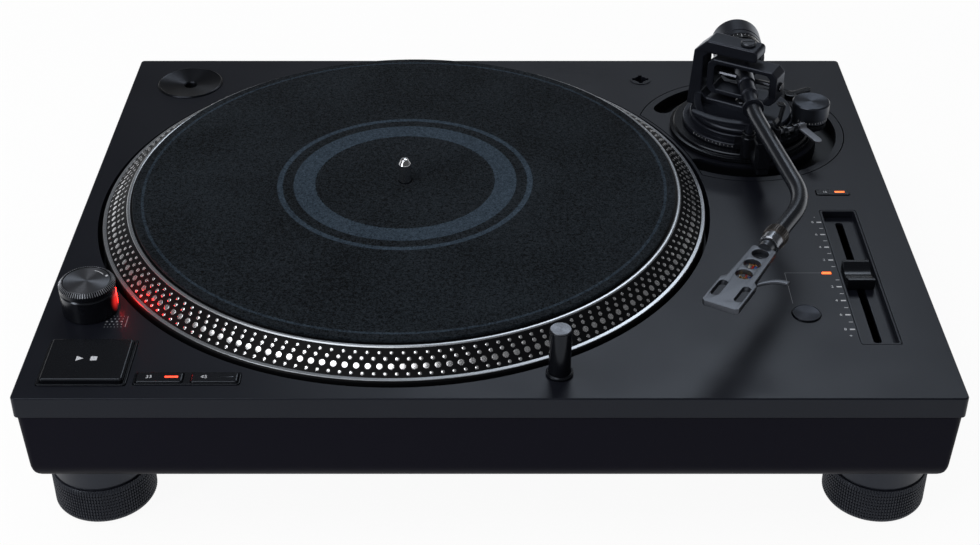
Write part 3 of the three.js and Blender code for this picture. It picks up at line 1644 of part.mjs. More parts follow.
// Height lock lever on its pin
function lockGeometry() {
  const low = bracketHigh + seam;
  const hub = pillar(lockHub, low, low + lockHeight, smallSides);
  const arm = slab(slotPoints(lockArm, lockArmWidth), low, low + lockHeight);
  const bore = pillar(lockPin + seam, low - overrun, low + lockHeight + overrun, pinSides);
  return cut(joined(hub, arm.translate(lockArm / 2, 0, 0)), bore);
}
const lockLever = piece('height_lock_lever', lockGeometry(), finishes.blackPlastic, armAxis);
lockLever.position.set(lockAt * Math.cos(lockAngle), lockAt * Math.sin(lockAngle), 0);
lockLever.rotation.z = lockAngle;

// Mains inlet: a block with a round-ended cavity and two pins
function inletGeometry() {
  const block = slab(boxPoints(inletWidth, inletHeight, socketCorner), 0, inletDepth);
  const cavity = slab(slotPoints(inletCavityWidth, inletCavityHeight), -overrun, inletCavityDepth);
  const pins = [-1, 1].map((side) => pillar(
    inletPin,
    inletCavityDepth - inletPinLength,
    inletCavityDepth + seam,
    pinSides,
    (side * inletPinPitch) / 2,
  ));
  return upright(joined(cut(block, cavity), ...pins));
}
const inlet = piece('mains_inlet', inletGeometry(), finishes.blackPlastic, cabinetLevel);
inlet.position.set(inletX, rearFace - seam, rearCentre);

// Phono terminals: a tray with two jacks and the earth stud, and the earth nut
function terminalGeometry() {
  const tray = cut(
    slab(boxPoints(bayWidth, bayHeight, socketCorner), 0, bayDepth),
    slab(boxPoints(bayWidth - 2 * bayWall, bayHeight - 2 * bayWall, edgeBreak), -overrun, bayDepth - bayFloor),
  );
  const floor = bayDepth - bayFloor;
  const jacks = [-1, 1].map((side) => slab(
    circlePoints(jackRadius, smallSides, jackShift + (side * jackPitch) / 2),
    floor - jackLength,
    floor + seam,
    [circlePoints(jackBore, pinSides, jackShift + (side * jackPitch) / 2)],
  ));
  const stud = pillar(earthStud, floor - earthStudLength, floor + seam, pinSides, earthShift);
  return upright(joined(tray, ...jacks, stud));
}
const terminals = piece('phono_terminals', terminalGeometry(), finishes.blackPlastic, cabinetLevel);
terminals.position.set(bayX, rearFace - seam, rearCentre);
const nutFloor = bayDepth - bayFloor - nutGap;
const nut = piece('earth_nut', upright(slab(
  circlePoints(nutRadius, smallSides),
  nutFloor - nutLength,
  nutFloor,
  [circlePoints(earthStud + seam, pinSides)],
)), finishes.steel, cabinetLevel);
nut.position.set(bayX + earthShift, rearFace - seam, rearCentre);

export default turntable;
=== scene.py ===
# DJ turntable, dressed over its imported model: charcoal deck, dotted platter, felt mat, black tone arm.
# Sizes in this file are millimetres, except those of lamps; the scene itself is in metres.
import bpy
import bmesh
import json
import math
from mathutils import Matrix, Vector
from mathutils.geometry import tessellate_polygon


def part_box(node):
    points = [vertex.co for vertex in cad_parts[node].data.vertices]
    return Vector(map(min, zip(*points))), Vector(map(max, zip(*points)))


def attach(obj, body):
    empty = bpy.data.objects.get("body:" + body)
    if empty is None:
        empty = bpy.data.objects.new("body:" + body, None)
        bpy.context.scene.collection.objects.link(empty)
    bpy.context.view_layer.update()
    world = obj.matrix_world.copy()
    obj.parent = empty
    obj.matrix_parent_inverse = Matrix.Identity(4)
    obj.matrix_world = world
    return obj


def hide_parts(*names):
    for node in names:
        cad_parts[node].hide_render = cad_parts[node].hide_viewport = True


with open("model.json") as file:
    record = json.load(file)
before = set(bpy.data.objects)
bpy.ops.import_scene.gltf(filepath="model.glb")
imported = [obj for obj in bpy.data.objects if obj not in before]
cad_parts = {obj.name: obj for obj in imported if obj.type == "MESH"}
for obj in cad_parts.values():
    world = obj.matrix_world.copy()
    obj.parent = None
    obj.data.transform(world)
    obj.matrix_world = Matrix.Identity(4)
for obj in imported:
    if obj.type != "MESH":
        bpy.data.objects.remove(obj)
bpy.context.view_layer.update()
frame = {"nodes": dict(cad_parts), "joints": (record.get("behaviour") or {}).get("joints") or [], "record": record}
mm = 0.001
footPlaces = ("front_left", "front_right", "rear_left", "rear_right")
bodyOf = {node: body for body, nodes in frame["record"]["behaviour"]["bodies"].items() for node in nodes}
slotOf = {part["node"]: part["material_slot"] for part in frame["record"]["subparts"]}
joints = {joint["name"]: joint for joint in frame["joints"]}
dressed = set()
print("stage 1: frame loaded,", len(bodyOf), "nodes")


# places, read from the frame
def boxOf(node):
    low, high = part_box(node)
    return low / mm, high / mm


def jointAt(name):
    return Vector(joints[name]["pos_m"]) / mm


def jointAxis(name):
    return Vector(joints[name]["axis"]).normalized()


def sizeOf(node):
    low, high = boxOf(node)
    return high - low


def middleOf(node):
    low, high = boxOf(node)
    return (low + high) / 2


def shiftBy(x, y=0.0, z=0.0):
    return Matrix.Translation((x, y, z))


def turnBy(angle, axis="Z"):
    return Matrix.Rotation(angle, 4, axis)


def standing(x, y, z=0.0, turn=0.0):
    return shiftBy(x, y, z) @ turnBy(turn)


deckLow, deckHigh = boxOf("deck")
deckTop = deckHigh.z
platterAt = jointAt("spindle_spin")
pivot = jointAt("arm_swing")
mast = standing(pivot.x, pivot.y, deckTop)  # on the deck, under the arm's pivot
tubeRise = pivot.z - deckTop
backward = jointAxis("weight_travel")
armTurn = math.atan2(-backward.y, -backward.x)
armLine = standing(pivot.x, pivot.y, pivot.z, armTurn)
pitchAxis = jointAxis("arm_pitch")
gimbalTurn = math.atan2(-pitchAxis.y, -pitchAxis.x)
gimbal = standing(pivot.x, pivot.y, deckTop, gimbalTurn)
headAxis = jointAxis("headshell_pull")
headAt = jointAt("collar_turn")
headLine = standing(headAt.x, headAt.y, headAt.z, math.atan2(headAxis.y, headAxis.x))


def onDeck(x, y, z=0.0):
    return shiftBy(x, y, deckTop + z)


# outlines and meshes
def circle(radius, sides, x=0.0, y=0.0):
    angles = [2 * math.pi * i / sides for i in range(sides)]
    return [(x + radius * math.cos(a), y + radius * math.sin(a)) for a in angles]


def arc(radius, start, end, steps, x=0.0, y=0.0):
    angles = [start + (end - start) * i / steps for i in range(steps + 1)]
    return [(x + radius * math.cos(a), y + radius * math.sin(a)) for a in angles]


def roundBox(width, depth, corner, x=0.0, y=0.0, steps=8):
    points = []
    for quarter, (sx, sy) in enumerate(((1, 1), (-1, 1), (-1, -1), (1, -1))):
        cx, cy = x + sx * (width / 2 - corner), y + sy * (depth / 2 - corner)
        points += arc(corner, quarter * math.pi / 2, (quarter + 1) * math.pi / 2, steps, cx, cy)
    return points


def slotLine(length, width, x=0.0, y=0.0, steps=12):
    half, reach = width / 2, (length - width) / 2
    right = arc(half, -math.pi / 2, math.pi / 2, steps, x + reach, y)
    return right + arc(half, math.pi / 2, 1.5 * math.pi, steps, x - reach, y)


def bandLine(inner, outer, start, end, steps=48, roundEnds=False):
    outside, inside = arc(outer, start, end, steps), arc(inner, end, start, steps)
    if not roundEnds:
        return outside + inside
    middle, half = (inner + outer) / 2, (outer - inner) / 2

    def cap(at, first):
        return arc(half, first, first + math.pi, 12, middle * math.cos(at), middle * math.sin(at))[1:-1]

    return outside + cap(end, end) + inside + cap(start, start + math.pi)


def soften(points, closed=True, steps=4):  # rounds each corner given as (a, b, radius)
    out, count = [], len(points)
    for i, point in enumerate(points):
        here = Vector(point[:2])
        radius = point[2] if len(point) > 2 else 0
        if radius <= 0 or (not closed and i in (0, count - 1)):
            out.append(tuple(here))
            continue
        toBefore, toAfter = Vector(points[i - 1][:2]) - here, Vector(points[(i + 1) % count][:2]) - here
        bent = abs(toBefore.normalized().cross(toAfter.normalized())) >= 1e-3
        if not bent or min(toBefore.length, toAfter.length) < 1e-4:
            out.append(tuple(here))
            continue
        half = toBefore.angle(toAfter) / 2
        reach = min(radius / math.tan(half), toBefore.length * 0.49, toAfter.length * 0.49)
        toBefore.normalize()
        toAfter.normalize()
        centre = here + (toBefore + toAfter).normalized() * (reach / math.cos(half))
        first, last = here + toBefore * reach - centre, here + toAfter * reach - centre
        sweepAngle = first.angle_signed(last) * -1
        for k in range(steps + 1):
            out.append(tuple(centre + Matrix.Rotation(sweepAngle * k / steps, 2) @ first))
    return out


def spin(profile, sides, rib=None, steps=4):  # (radius, height, rounding) from the axis or closed on itself
    closed = profile[0][0] > 0
    line = soften(profile, closed, steps)
    verts, rows = [], []
    for radius, height in line:
        if radius < 1e-6:
            rows.append([len(verts)])
            verts.append((0, 0, height))
            continue
        row = []
        for i in range(sides):
            angle, out = 2 * math.pi * i / sides, radius
            if rib and rib["low"] <= height <= rib["high"] and radius > rib["from"] and i % 4 in (2, 3):
                out = radius - rib["depth"]
            row.append(len(verts))
            verts.append((out * math.cos(angle), out * math.sin(angle), height))
        rows.append(row)
    faces = []
    for a, b in zip(rows, rows[1:] + ([rows[0]] if closed else [])):
        for i in range(sides):
            j = (i + 1) % sides
            if len(a) == 1 and len(b) == 1:
                continue
            if len(a) == 1:
                faces.append((a[0], b[j], b[i]))
            elif len(b) == 1:
                faces.append((a[i], a[j], b[0]))
            else:
                faces.append((a[i], a[j], b[j], b[i]))
    return verts, faces


def offsetLine(points, distance):  # each corner moves in by distance, mitred
    out, count = [], len(points)
    for i in range(count):
        before, here, after = (Vector(points[k % count]) for k in (i - 1, i, i + 1))
        a, b = (here - before).normalized(), (after - here).normalized()
        na, nb = Vector((-a.y, a.x)), Vector((-b.y, b.x))
        middle = na + nb
        length = middle.length
        if length < 1e-6:
            out.append(tuple(here + na * distance))
        else:
            out.append(tuple(here + middle / length * distance / max(length / 2, 0.3)))
    return out


def signedArea(points):
    return sum(a[0] * b[1] - b[0] * a[1] for a, b in zip(points, points[1:] + points[:1])) / 2


def extrude(outlines, low, high, edge=0.0, steps=2):  # first outline is the outside, the rest are holes
    lines = []
    for k, points in enumerate(outlines):
        wanted = 1 if k == 0 else -1
        lines.append(list(points) if signedArea(points) * wanted > 0 else list(reversed(points)))
    levels = []
    for k in range(steps + 1 if edge else 1):
        angle = math.pi / 2 * k / steps if edge else 0
        levels.append((low + edge * (1 - math.sin(angle)), edge * (1 - math.cos(angle))))
    levels = list(reversed(levels)) if edge else levels
    levels += [(high - (z - low), inset) for z, inset in reversed(levels)]
    verts, faces = [], []
    starts = []
    for z, inset in levels:
        starts.append(len(verts))
        for points in lines:
            verts += [(x, y, z) for x, y in (offsetLine(points, inset) if inset else points)]
    sizes = [len(points) for points in lines]
    for a, b in zip(starts, starts[1:]):
        shift = 0
        for size in sizes:
            for i in range(size):
                j = (i + 1) % size
                faces.append((a + shift + i, a + shift + j, b + shift + j, b + shift + i))
            shift += size
    cap = tessellate_polygon([[Vector((x, y, 0)) for x, y in points] for points in lines])
    flat = [point for points in lines for point in points]
    for triangle in cap:
        a, b, c = (Vector(flat[i]) for i in triangle)
        up = (b - a).cross(c - a) > 0
        first, second = (triangle, triangle[::-1]) if up else (triangle[::-1], triangle)
        faces.append(tuple(starts[-1] + i for i in first))
        faces.append(tuple(starts[0] + i for i in second))
    return verts, faces


def disc(radius, sides, low, high, x=0.0, y=0.0, edge=0.0):
    return extrude([circle(radius, sides, x, y)], low, high, edge)


def slab(width, depth, corner, low, high, x=0.0, y=0.0, steps=8, edge=0.0):
    return extrude([roundBox(width, depth, corner, x, y, steps)], low, high, edge)


def loft(levels):  # (height, outline), all outlines with the same number of points
    verts = [(x, y, z) for z, points in levels for x, y in points]
    count = len(levels[0][1])
    faces = []
    for row in range(len(levels) - 1):
        for i in range(count):
            j = (i + 1) % count
            faces.append((row * count + i, row * count + j, (row + 1) * count + j, (row + 1) * count + i))
    faces.append(tuple(reversed(range(count))))
    faces.append(tuple((len(levels) - 1) * count + i for i in range(count)))
    return verts, faces


def softBlock(width, depth, corner, levels, x=0.0, y=0.0, steps=8):
    outlines = []
    for z, inset in levels:
        sides = (width - 2 * inset, depth - 2 * inset, max(corner - inset, corner / 4))
        outlines.append((z, roundBox(*sides, x, y, steps)))
    return loft(outlines)


def sweep(path, radius, sides=24):
    path = [Vector(p) for p in path]
    verts, faces = [], []
    side = None
    for i, here in enumerate(path):
        ahead = (path[min(i + 1, len(path) - 1)] - path[max(i - 1, 0)]).normalized()
        side = (ahead.orthogonal() if side is None else side - ahead * side.dot(ahead)).normalized()
        other = ahead.cross(side)
        for k in range(sides):
            angle = 2 * math.pi * k / sides
            verts.append(tuple(here + (side * math.cos(angle) + other * math.sin(angle)) * radius))
    for row in range(len(path) - 1):
        for i in range(sides):
            j = (i + 1) % sides
            faces.append((row * sides + i, row * sides + j, (row + 1) * sides + j, (row + 1) * sides + i))
    faces.append(tuple(reversed(range(sides))))
    faces.append(tuple((len(path) - 1) * sides + i for i in range(sides)))
    return verts, faces


def moved(shape, place):
    verts, faces = shape
    return [tuple(place @ Vector(v)) for v in verts], faces


def merged(*shapes):
    verts, faces = [], []
    for shapeVerts, shapeFaces in shapes:
        shift = len(verts)
        verts += shapeVerts
        faces += [tuple(i + shift for i in face) for face in shapeFaces]
    return verts, faces


aside = turnBy(math.pi / 2, "Y")  # turns a profile's height to run along X
upright = turnBy(math.pi / 2, "X")  # turns an outline's y to run along Z


def meshObject(name, shape, place=Matrix.Identity(4)):
    mesh = bpy.data.meshes.new(name)
    verts, faces = moved(shape, Matrix.Scale(mm, 4) @ place)
    mesh.from_pydata(verts, [], faces)
    mesh.update()
    obj = bpy.data.objects.new(name, mesh)
    bpy.context.scene.collection.objects.link(obj)
    return obj


def tidy(obj, sharpAngle=32, fixFaces=False):
    work = bmesh.new()
    work.from_mesh(obj.data)
    bmesh.ops.remove_doubles(work, verts=work.verts, dist=1e-7)
    if fixFaces:
        bmesh.ops.recalc_face_normals(work, faces=work.faces)
    for face in work.faces:
        face.smooth = True
    for edge in work.edges:
        edge.smooth = len(edge.link_faces) == 2 and edge.calc_face_angle(0) < math.radians(sharpAngle)
    work.to_mesh(obj.data)
    work.free()
    flats = obj.modifiers.new("flats", "WEIGHTED_NORMAL")  # flat faces keep their normal at rounded edges
    flats.keep_sharp = True
    return obj


def applied(obj):  # bakes the modifiers into the mesh
    bpy.context.view_layer.update()
    mesh = bpy.data.meshes.new_from_object(obj.evaluated_get(bpy.context.evaluated_depsgraph_get()))
    obj.modifiers.clear()
    obj.data = mesh
    return obj


def carve(obj, *cutters, operation="DIFFERENCE"):
    for cutter in cutters:
        modifier = obj.modifiers.new("cut", "BOOLEAN")
        modifier.operation = operation
        modifier.solver = "EXACT"
        modifier.object = cutter
    applied(obj)
    for cutter in cutters:
        bpy.data.objects.remove(cutter)
    return obj


def eased(obj, width, segments=2, angle=40):
    modifier = obj.modifiers.new("edge", "BEVEL")
    modifier.width = width * mm
    modifier.segments = segments
    modifier.limit_method = "ANGLE"
    modifier.angle_limit = math.radians(angle)
    modifier.use_clamp_overlap = True
    return applied(obj)


# a piece that replaces no node takes the body of the node that it is like
def dress(obj, material, node=None, like=None, slot=None):
    obj.data.materials.clear()
    obj.data.materials.append(material)
    if node:
        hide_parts(node)
        dressed.add(node)
    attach(obj, bodyOf[node or like])
    return obj


def turnedPiece(name, node, profile, material, place, sides=96, rib=None, along=False, sharpAngle=32, **more):
    shape = spin(profile, sides, rib)
    obj = meshObject(name, moved(shape, aside) if along else shape, place)
    return dress(tidy(obj, sharpAngle, True), material, node, **more)


def platePiece(name, node, outlines, low, high, material, place, edge=0.3, stand=False):
    shape = extrude(outlines, low, high, edge)
    obj = meshObject(name, moved(shape, upright) if stand else shape, place)
    return dress(tidy(obj, fixFaces=True), material, node)


def trim(name, shape, material, like, place=Matrix.Identity(4), sharpAngle=32, slot=None):
    return dress(tidy(meshObject(name, shape, place), sharpAngle, True), material, like=like, slot=slot)


def label(name, words, size, material, like, place):
    curve = bpy.data.curves.new(name, "FONT")
    curve.body = words
    curve.size = size * mm
    curve.extrude = 0.02 * mm
    curve.align_x, curve.align_y = "CENTER", "CENTER"
    holder = bpy.data.objects.new(name, curve)
    bpy.context.scene.collection.objects.link(holder)
    bpy.context.view_layer.update()
    mesh = bpy.data.meshes.new_from_object(holder.evaluated_get(bpy.context.evaluated_depsgraph_get()))
    bpy.data.objects.remove(holder)
    mesh.transform(Matrix.Scale(mm, 4) @ place @ Matrix.Scale(1 / mm, 4))
    obj = bpy.data.objects.new(name, mesh)
    bpy.context.scene.collection.objects.link(obj)
    return dress(obj, material, like=like)


# shader expressions
class Sock:
    def __init__(self, nodes, socket):
        self.nodes, self.socket = nodes, socket

    def calc(self, operation, *others):
        return self.nodes.maths(operation, self, *others)

    def __add__(self, other):
        return self.calc("ADD", other)

    def __sub__(self, other):
        return self.calc("SUBTRACT", other)

    def __mul__(self, other):
        return self.calc("MULTIPLY", other)

    def __truediv__(self, other):
        return self.calc("DIVIDE", other)

    def __rsub__(self, other):
        return self.nodes.maths("SUBTRACT", other, self)

    def __rtruediv__(self, other):
        return self.nodes.maths("DIVIDE", other, self)

    __radd__, __rmul__ = __add__, __mul__

    def clamp(self, low=0.0, high=1.0):
        return self.calc("MAXIMUM", low).calc("MINIMUM", high)


class Nodes:
    def __init__(self, owner):
        owner.use_nodes = True
        self.tree = owner.node_tree
        self.tree.nodes.clear()

    def plug(self, socket, value):
        if isinstance(value, Sock):
            self.tree.links.new(value.socket, socket)
        elif hasattr(value, "__len__") and len(value) == 3 and len(getattr(socket, "default_value", [])) == 4:
            socket.default_value = (*value, 1.0)
        else:
            socket.default_value = value

    def node(self, kind, settings=None, sockets=None, output=0):
        made = self.tree.nodes.new("ShaderNode" + kind)
        for key, value in (settings or {}).items():
            setattr(made, key, value)
        for key, value in (sockets or {}).items():
            self.plug(made.inputs[key], value)
        return Sock(self, made.outputs[output])

    def maths(self, operation, *values):
        return self.node("Math", {"operation": operation}, dict(enumerate(values)))

    def span(self, value, low, high, toLow=0.0, toHigh=1.0):
        sockets = {"Value": value, "From Min": low, "From Max": high, "To Min": toLow, "To Max": toHigh}
        return self.node("MapRange", {"interpolation_type": "SMOOTHSTEP"}, sockets)

    def show(self, kind, surface):  # the closing output node
        self.tree.links.new(surface.socket, self.tree.nodes.new("ShaderNodeOutput" + kind).inputs["Surface"])


shaderSockets = {
    "colour": "Base Color", "roughness": "Roughness", "metallic": "Metallic", "coat": "Coat Weight",
    "coatRoughness": "Coat Roughness", "specular": "Specular IOR Level", "shine": "Specular Tint",
    "sheen": "Sheen Weight", "sheenRoughness": "Sheen Roughness", "glow": "Emission Color",
    "glowStrength": "Emission Strength", "normal": "Normal", "spread": "Anisotropic",
    "spreadTurn": "Anisotropic Rotation",
}


class Finish(Nodes):
    def __init__(self, name, shown=True, **values):
        self.material = bpy.data.materials.new(name)
        super().__init__(self.material)
        self.shader = self.tree.nodes.new("ShaderNodeBsdfPrincipled")
        if shown:
            self.show("Material", Sock(self, self.shader.outputs[0]))
        self.set(**values)

    def set(self, **values):
        for key, value in values.items():
            self.plug(self.shader.inputs[shaderSockets[key]], value)

    def coords(self, centre=None):  # the piece's own coordinates, about a point in millimetres
        where = self.node("TexCoord", output="Object")
        if centre is None:
            return where
        return self.node("VectorMath", {"operation": "SUBTRACT"}, {0: where, 1: tuple(Vector(centre) * mm)})

    def distance(self, centre, scale):  # from a point, with each axis scaled from metres
        flat = self.node("VectorMath", {"operation": "MULTIPLY"}, {0: self.coords(centre), 1: scale})
        return self.node("VectorMath", {"operation": "LENGTH"}, {0: flat}, output="Value")

    def radius(self, centre):  # distance from the vertical axis through centre, in millimetres
        return self.distance(centre, (1 / mm, 1 / mm, 0.0))

    def noise(self, size, detail=2.0, where=None, rough=0.5):  # size of a blotch, in millimetres
        scale = 1 / (size * mm)
        sockets = {"Vector": where or self.coords(), "Scale": scale, "Detail": detail, "Roughness": rough}
        return self.node("TexNoise", {}, sockets)

    def rings(self, out, pitch):  # fine turned rings at a distance from the axis
        sockets = {"W": out / pitch, "Scale": 1.0, "Detail": 2.0}
        return self.node("TexNoise", {"noise_dimensions": "1D"}, sockets)

    def blend(self, factor, first, second):
        return self.node("Mix", {"data_type": "RGBA"}, {"Factor": factor, 6: first, 7: second}, output=2)

    def bump(self, height, depth):  # depth in millimetres
        self.set(normal=self.node("Bump", {}, {"Height": height, "Distance": depth * mm, "Strength": 1.0}))


def tint(r, g, b):  # screen colour, 0 to 255, to linear
    shares = (r / 255, g / 255, b / 255)
    return tuple(c / 12.92 if c <= 0.04045 else ((c + 0.055) / 1.055) ** 2.4 for c in shares)


def grained(name, dark, light, roughness, grain, depth, metallic=0.0, specular=0.3, wander=60, **more):
    f = Finish(name, metallic=metallic, specular=specular, **more)
    fine, broad = f.noise(grain, 3), f.noise(wander, 2)
    f.set(colour=f.blend((fine * 0.6 + broad * 0.4).clamp(), dark, light))
    f.set(roughness=f.span(broad * 0.5 + fine * 0.5, 0.3, 0.7, roughness - 0.05, roughness + 0.05))
    f.bump(fine, depth)
    return f.material


# turned metal, with rings about centre
def spun(name, dark, light, roughness, centre, pitch, metallic=1.0, depth=0.01, specular=0.4, spread=0.8):
    f = Finish(name, metallic=metallic, specular=specular, spread=spread, spreadTurn=0.25)
    rings = f.rings(f.radius(centre), pitch)
    fine = f.noise(0.4, 2)
    f.set(colour=f.blend(rings, dark, light))
    f.set(roughness=f.span(rings * 0.7 + fine * 0.3, 0.3, 0.7, roughness - 0.06, roughness + 0.06))
    f.bump(rings, depth)
    return f.material


paint = {
    "deck": (tint(13, 14, 20), tint(19, 21, 28), 0.36, 0.35, 0.01),
    "cabinet": (tint(9, 8, 16), tint(15, 14, 24), 0.5, 0.5, 0.02),
    "black": (tint(7, 8, 11), tint(13, 14, 18), 0.25, 0.3, 0.004),
    "matt": (tint(11, 12, 15), tint(19, 20, 24), 0.55, 0.35, 0.012),
    "rubber": (tint(17, 18, 24), tint(29, 31, 39), 0.4, 0.4, 0.01),
}
coolShine = (0.78, 0.86, 1.0)
deckPaint = grained("deckPaint", *paint["deck"], specular=0.2, shine=coolShine)
cabinetSkin = grained("cabinetSkin", *paint["cabinet"], specular=0.05, shine=coolShine)
blackPlastic = grained("blackPlastic", *paint["black"], specular=0.3, shine=coolShine)
mattPlastic = grained("mattPlastic", *paint["matt"], specular=0.3)
footRubber = grained("footRubber", *paint["rubber"], specular=0.35, shine=coolShine)
blackMetal = grained(
    "blackMetal", tint(18, 20, 26), tint(30, 32, 40), 0.32, 0.25, 0.004, metallic=0.35, specular=0.4,
    shine=coolShine,
)
glossBlack = grained(
    "glossBlack", tint(7, 8, 11), tint(13, 14, 18), 0.2, 0.3, 0.003, specular=0.24, shine=coolShine
)
greyMetal = grained(
    "greyMetal", tint(50, 53, 59), tint(72, 76, 84), 0.3, 0.25, 0.006, metallic=0.7, specular=0.5
)
cueMetal = grained(
    "cueMetal", tint(84, 87, 94), tint(108, 111, 119), 0.34, 0.25, 0.005, metallic=0.7, specular=0.5
)
darkSteel = grained(
    "darkSteel", tint(54, 56, 62), tint(80, 83, 90), 0.3, 0.3, 0.004, metallic=0.9, specular=0.5
)
brightMetal = grained(
    "brightMetal", tint(196, 198, 203), tint(226, 228, 232), 0.16, 0.2, 0.002, metallic=1.0, specular=0.5
)
copperWire = grained("copperWire", tint(132, 66, 34), tint(176, 98, 56), 0.35, 0.6, 0.05, metallic=0.9)
magnetStone = grained("magnetStone", tint(38, 38, 40), tint(54, 54, 57), 0.7, 0.5, 0.03)
ink = grained("ink", tint(170, 172, 178), tint(198, 200, 205), 0.5, 0.3, 0.002)
faintInk = grained("faintInk", tint(98, 100, 106), tint(120, 122, 128), 0.5, 0.3, 0.002)


def lensFinish(name, colour, deep, strength):
    f = Finish(name, roughness=0.16, specular=0.5, glowStrength=strength)
    cloud = f.noise(1.2, 2)
    f.set(colour=f.blend(cloud, deep, colour), glow=f.blend(cloud, deep, colour))
    return f.material


redLens = lensFinish("redLens", (1.0, 0.07, 0.03), (0.8, 0.03, 0.015), 3.0)
strobeRed = lensFinish("strobeRed", (1.0, 0.011, 0.007), (0.85, 0.006, 0.004), 32.0)
amberLens = lensFinish("amberLens", (1.0, 0.2, 0.04), (0.9, 0.1, 0.02), 1.6)
whiteDot = lensFinish("whiteDot", (0.85, 0.85, 0.82), (0.7, 0.7, 0.68), 0.0)
print("stage 2: finishes ready")


# camera, light and floor
view = {
    "focalPixels": 1622.13, "distance": 775.94, "height": 571.06, "tilt": 34.05487, "width": 980,
    "middleX": 489.6,
}


def makeCamera():
    data = bpy.data.cameras.new("camera")
    data.sensor_fit, data.sensor_width = "HORIZONTAL", 36.0
    data.lens = view["focalPixels"] * data.sensor_width / view["width"]
    data.shift_x = (view["width"] / 2 - view["middleX"]) / view["width"]
    data.clip_start, data.clip_end = 0.05, 50
    camera = bpy.data.objects.new("camera", data)
    camera.location = (0, -view["distance"] * mm, view["height"] * mm)
    camera.rotation_euler = (math.radians(90 - view["tilt"]), 0, 0)
    bpy.context.scene.collection.objects.link(camera)
    bpy.context.scene.camera = camera


lamps = {
    "rearBox": {"at": (0.38, 1.9, 2.0), "size": (1.3, 0.7), "watts": 15, "colour": (0.88, 0.94, 1.0)},
    "overhead": {"at": (-0.7, -0.5, 1.65), "size": (1.5, 0.9), "watts": 15},
    "leftFront": {"at": (-0.95, -0.8, 0.42), "size": (0.35, 0.5), "watts": 4.5},
}
lampTarget = (0, 0, 0.08)
sky = {"shade": 0.36, "top": 0.08, "whiteTo": 0.03, "darkFrom": 0.2}  # heights are sines of the elevation
floor = {"reach": 6000, "level": -0.2, "bare": 0.94}  # bare: how much of it the camera sees as plain white


def makeLamp(name, values):
    data = bpy.data.lights.new(name, "AREA")
    data.shape = "RECTANGLE"
    data.size, data.size_y = values["size"]
    data.energy = values["watts"]
    data.color = values.get("colour", (1, 1, 1))
    lamp = bpy.data.objects.new(name, data)
    lamp.location = values["at"]
    towards = Vector(lampTarget) - Vector(values["at"])
    lamp.rotation_euler = towards.to_track_quat("-Z", "Y").to_euler()
    bpy.context.scene.collection.objects.link(lamp)


def makeWorld():
    world = bpy.data.worlds.new("studio")
    bpy.context.scene.world = world
    w = Nodes(world)
    kinds = ("Camera", "Glossy", "Transmission")
    ray = {kind: w.node("LightPath", output=f"Is {kind} Ray") for kind in kinds}
    rise = w.node("SeparateXYZ", {}, {0: w.node("TexCoord", output="Generated")}, output="Z")
    mirrored = w.span(rise, sky["whiteTo"], sky["darkFrom"], 1.0, sky["top"])
    lit = w.node("MapRange", {}, {"Value": ray["Camera"], "To Min": sky["shade"]})
    mirror = ray["Glossy"].calc("MAXIMUM", ray["Transmission"])
    strength = w.node("Mix", {}, {"Factor": mirror, 2: lit, 3: mirrored})
    w.show("World", w.node("Background", {}, {"Color": (1, 1, 1), "Strength": strength}))


def makeFloor():
    f = Finish("floorPaper", shown=False, roughness=0.9, specular=0.0)
    f.set(colour=f.blend(f.noise(2.0, 2), (0.86, 0.86, 0.86), (0.9, 0.9, 0.9)))
    camera, glossy = (f.node("LightPath", output=f"Is {kind} Ray") for kind in ("Camera", "Glossy"))
    bare = f.node("Emission", {}, {"Strength": 1.0})
    painted = Sock(f, f.shader.outputs[0])
    share = camera.calc("MAXIMUM", glossy) * floor["bare"]
    f.show("Material", f.node("MixShader", {}, {0: share, 1: painted, 2: bare}))
    reach = floor["reach"]
    corners = [(x, y, 0) for x, y in ((-reach, -reach), (reach, -reach), (reach, reach), (-reach, reach))]
    paper = meshObject("floor", (corners, [(0, 1, 2, 3)]), shiftBy(0, 0, floor["level"]))
    paper.data.materials.append(f.material)


makeCamera()
for lampName, lampValues in lamps.items():
    makeLamp(lampName, lampValues)
makeWorld()
makeFloor()
bpy.context.scene.view_settings.view_transform = "Standard"
print("stage 3: camera, lamps and floor")

# deck and cabinet
deck = {
    "corner": 2.5, "edge": 0.8, "band": 11.5, "plate": 4.0, "wall": 4.0, "well": 169.9, "wellDeep": 19.0,
    "wellWall": 1.6, "motorHole": 9.8, "seat": 61.9, "dish": 20.5, "dishDeep": 9.0, "dishWall": 1.6,
    "gap": 0.3, "holeCorner": 1.4, "lampCorner": 0.6, "rangeLip": 3.0, "ledge": (55.0, 64.0),
    "ledgeLow": -13.8, "ledgeHigh": -10.9,
    "holes": {"reset_button": 7.3, "headshell_holder": 6.0, "strobe_housing": 11.6, "light_collar": 6.2},
}
throughPlate = (deckTop - deck["band"], deckTop + 2)  # heights of a hole's cutter


def edgeLevels(low, high, edge, lowEdge=0.3, steps=6):  # heights and insets of a block with a rounded top
    below = [math.pi / 2 * k / 2 for k in (2, 1, 0)]
    above = [math.pi / 2 * k / steps for k in range(steps + 1)]
    levels = [(low + lowEdge * (1 - math.sin(a)), lowEdge * (1 - math.cos(a))) for a in below]
    return levels + [(high - edge + edge * math.sin(a), edge * (1 - math.cos(a))) for a in above]


def holeFor(node, corner, grow=0.0):  # an opening through the plate round a node, with its gap
    low, high = boxOf(node)
    size, centre = high - low, (low + high) / 2
    wide, long = (side + grow + 2 * deck["gap"] for side in size.xy)
    return meshObject("hole", slab(wide, long, corner, *throughPlate, centre.x, centre.y, steps=5))


def roundHole(node, radius):
    centre = middleOf(node)
    return meshObject("hole", disc(radius, 64, *throughPlate, centre.x, centre.y))


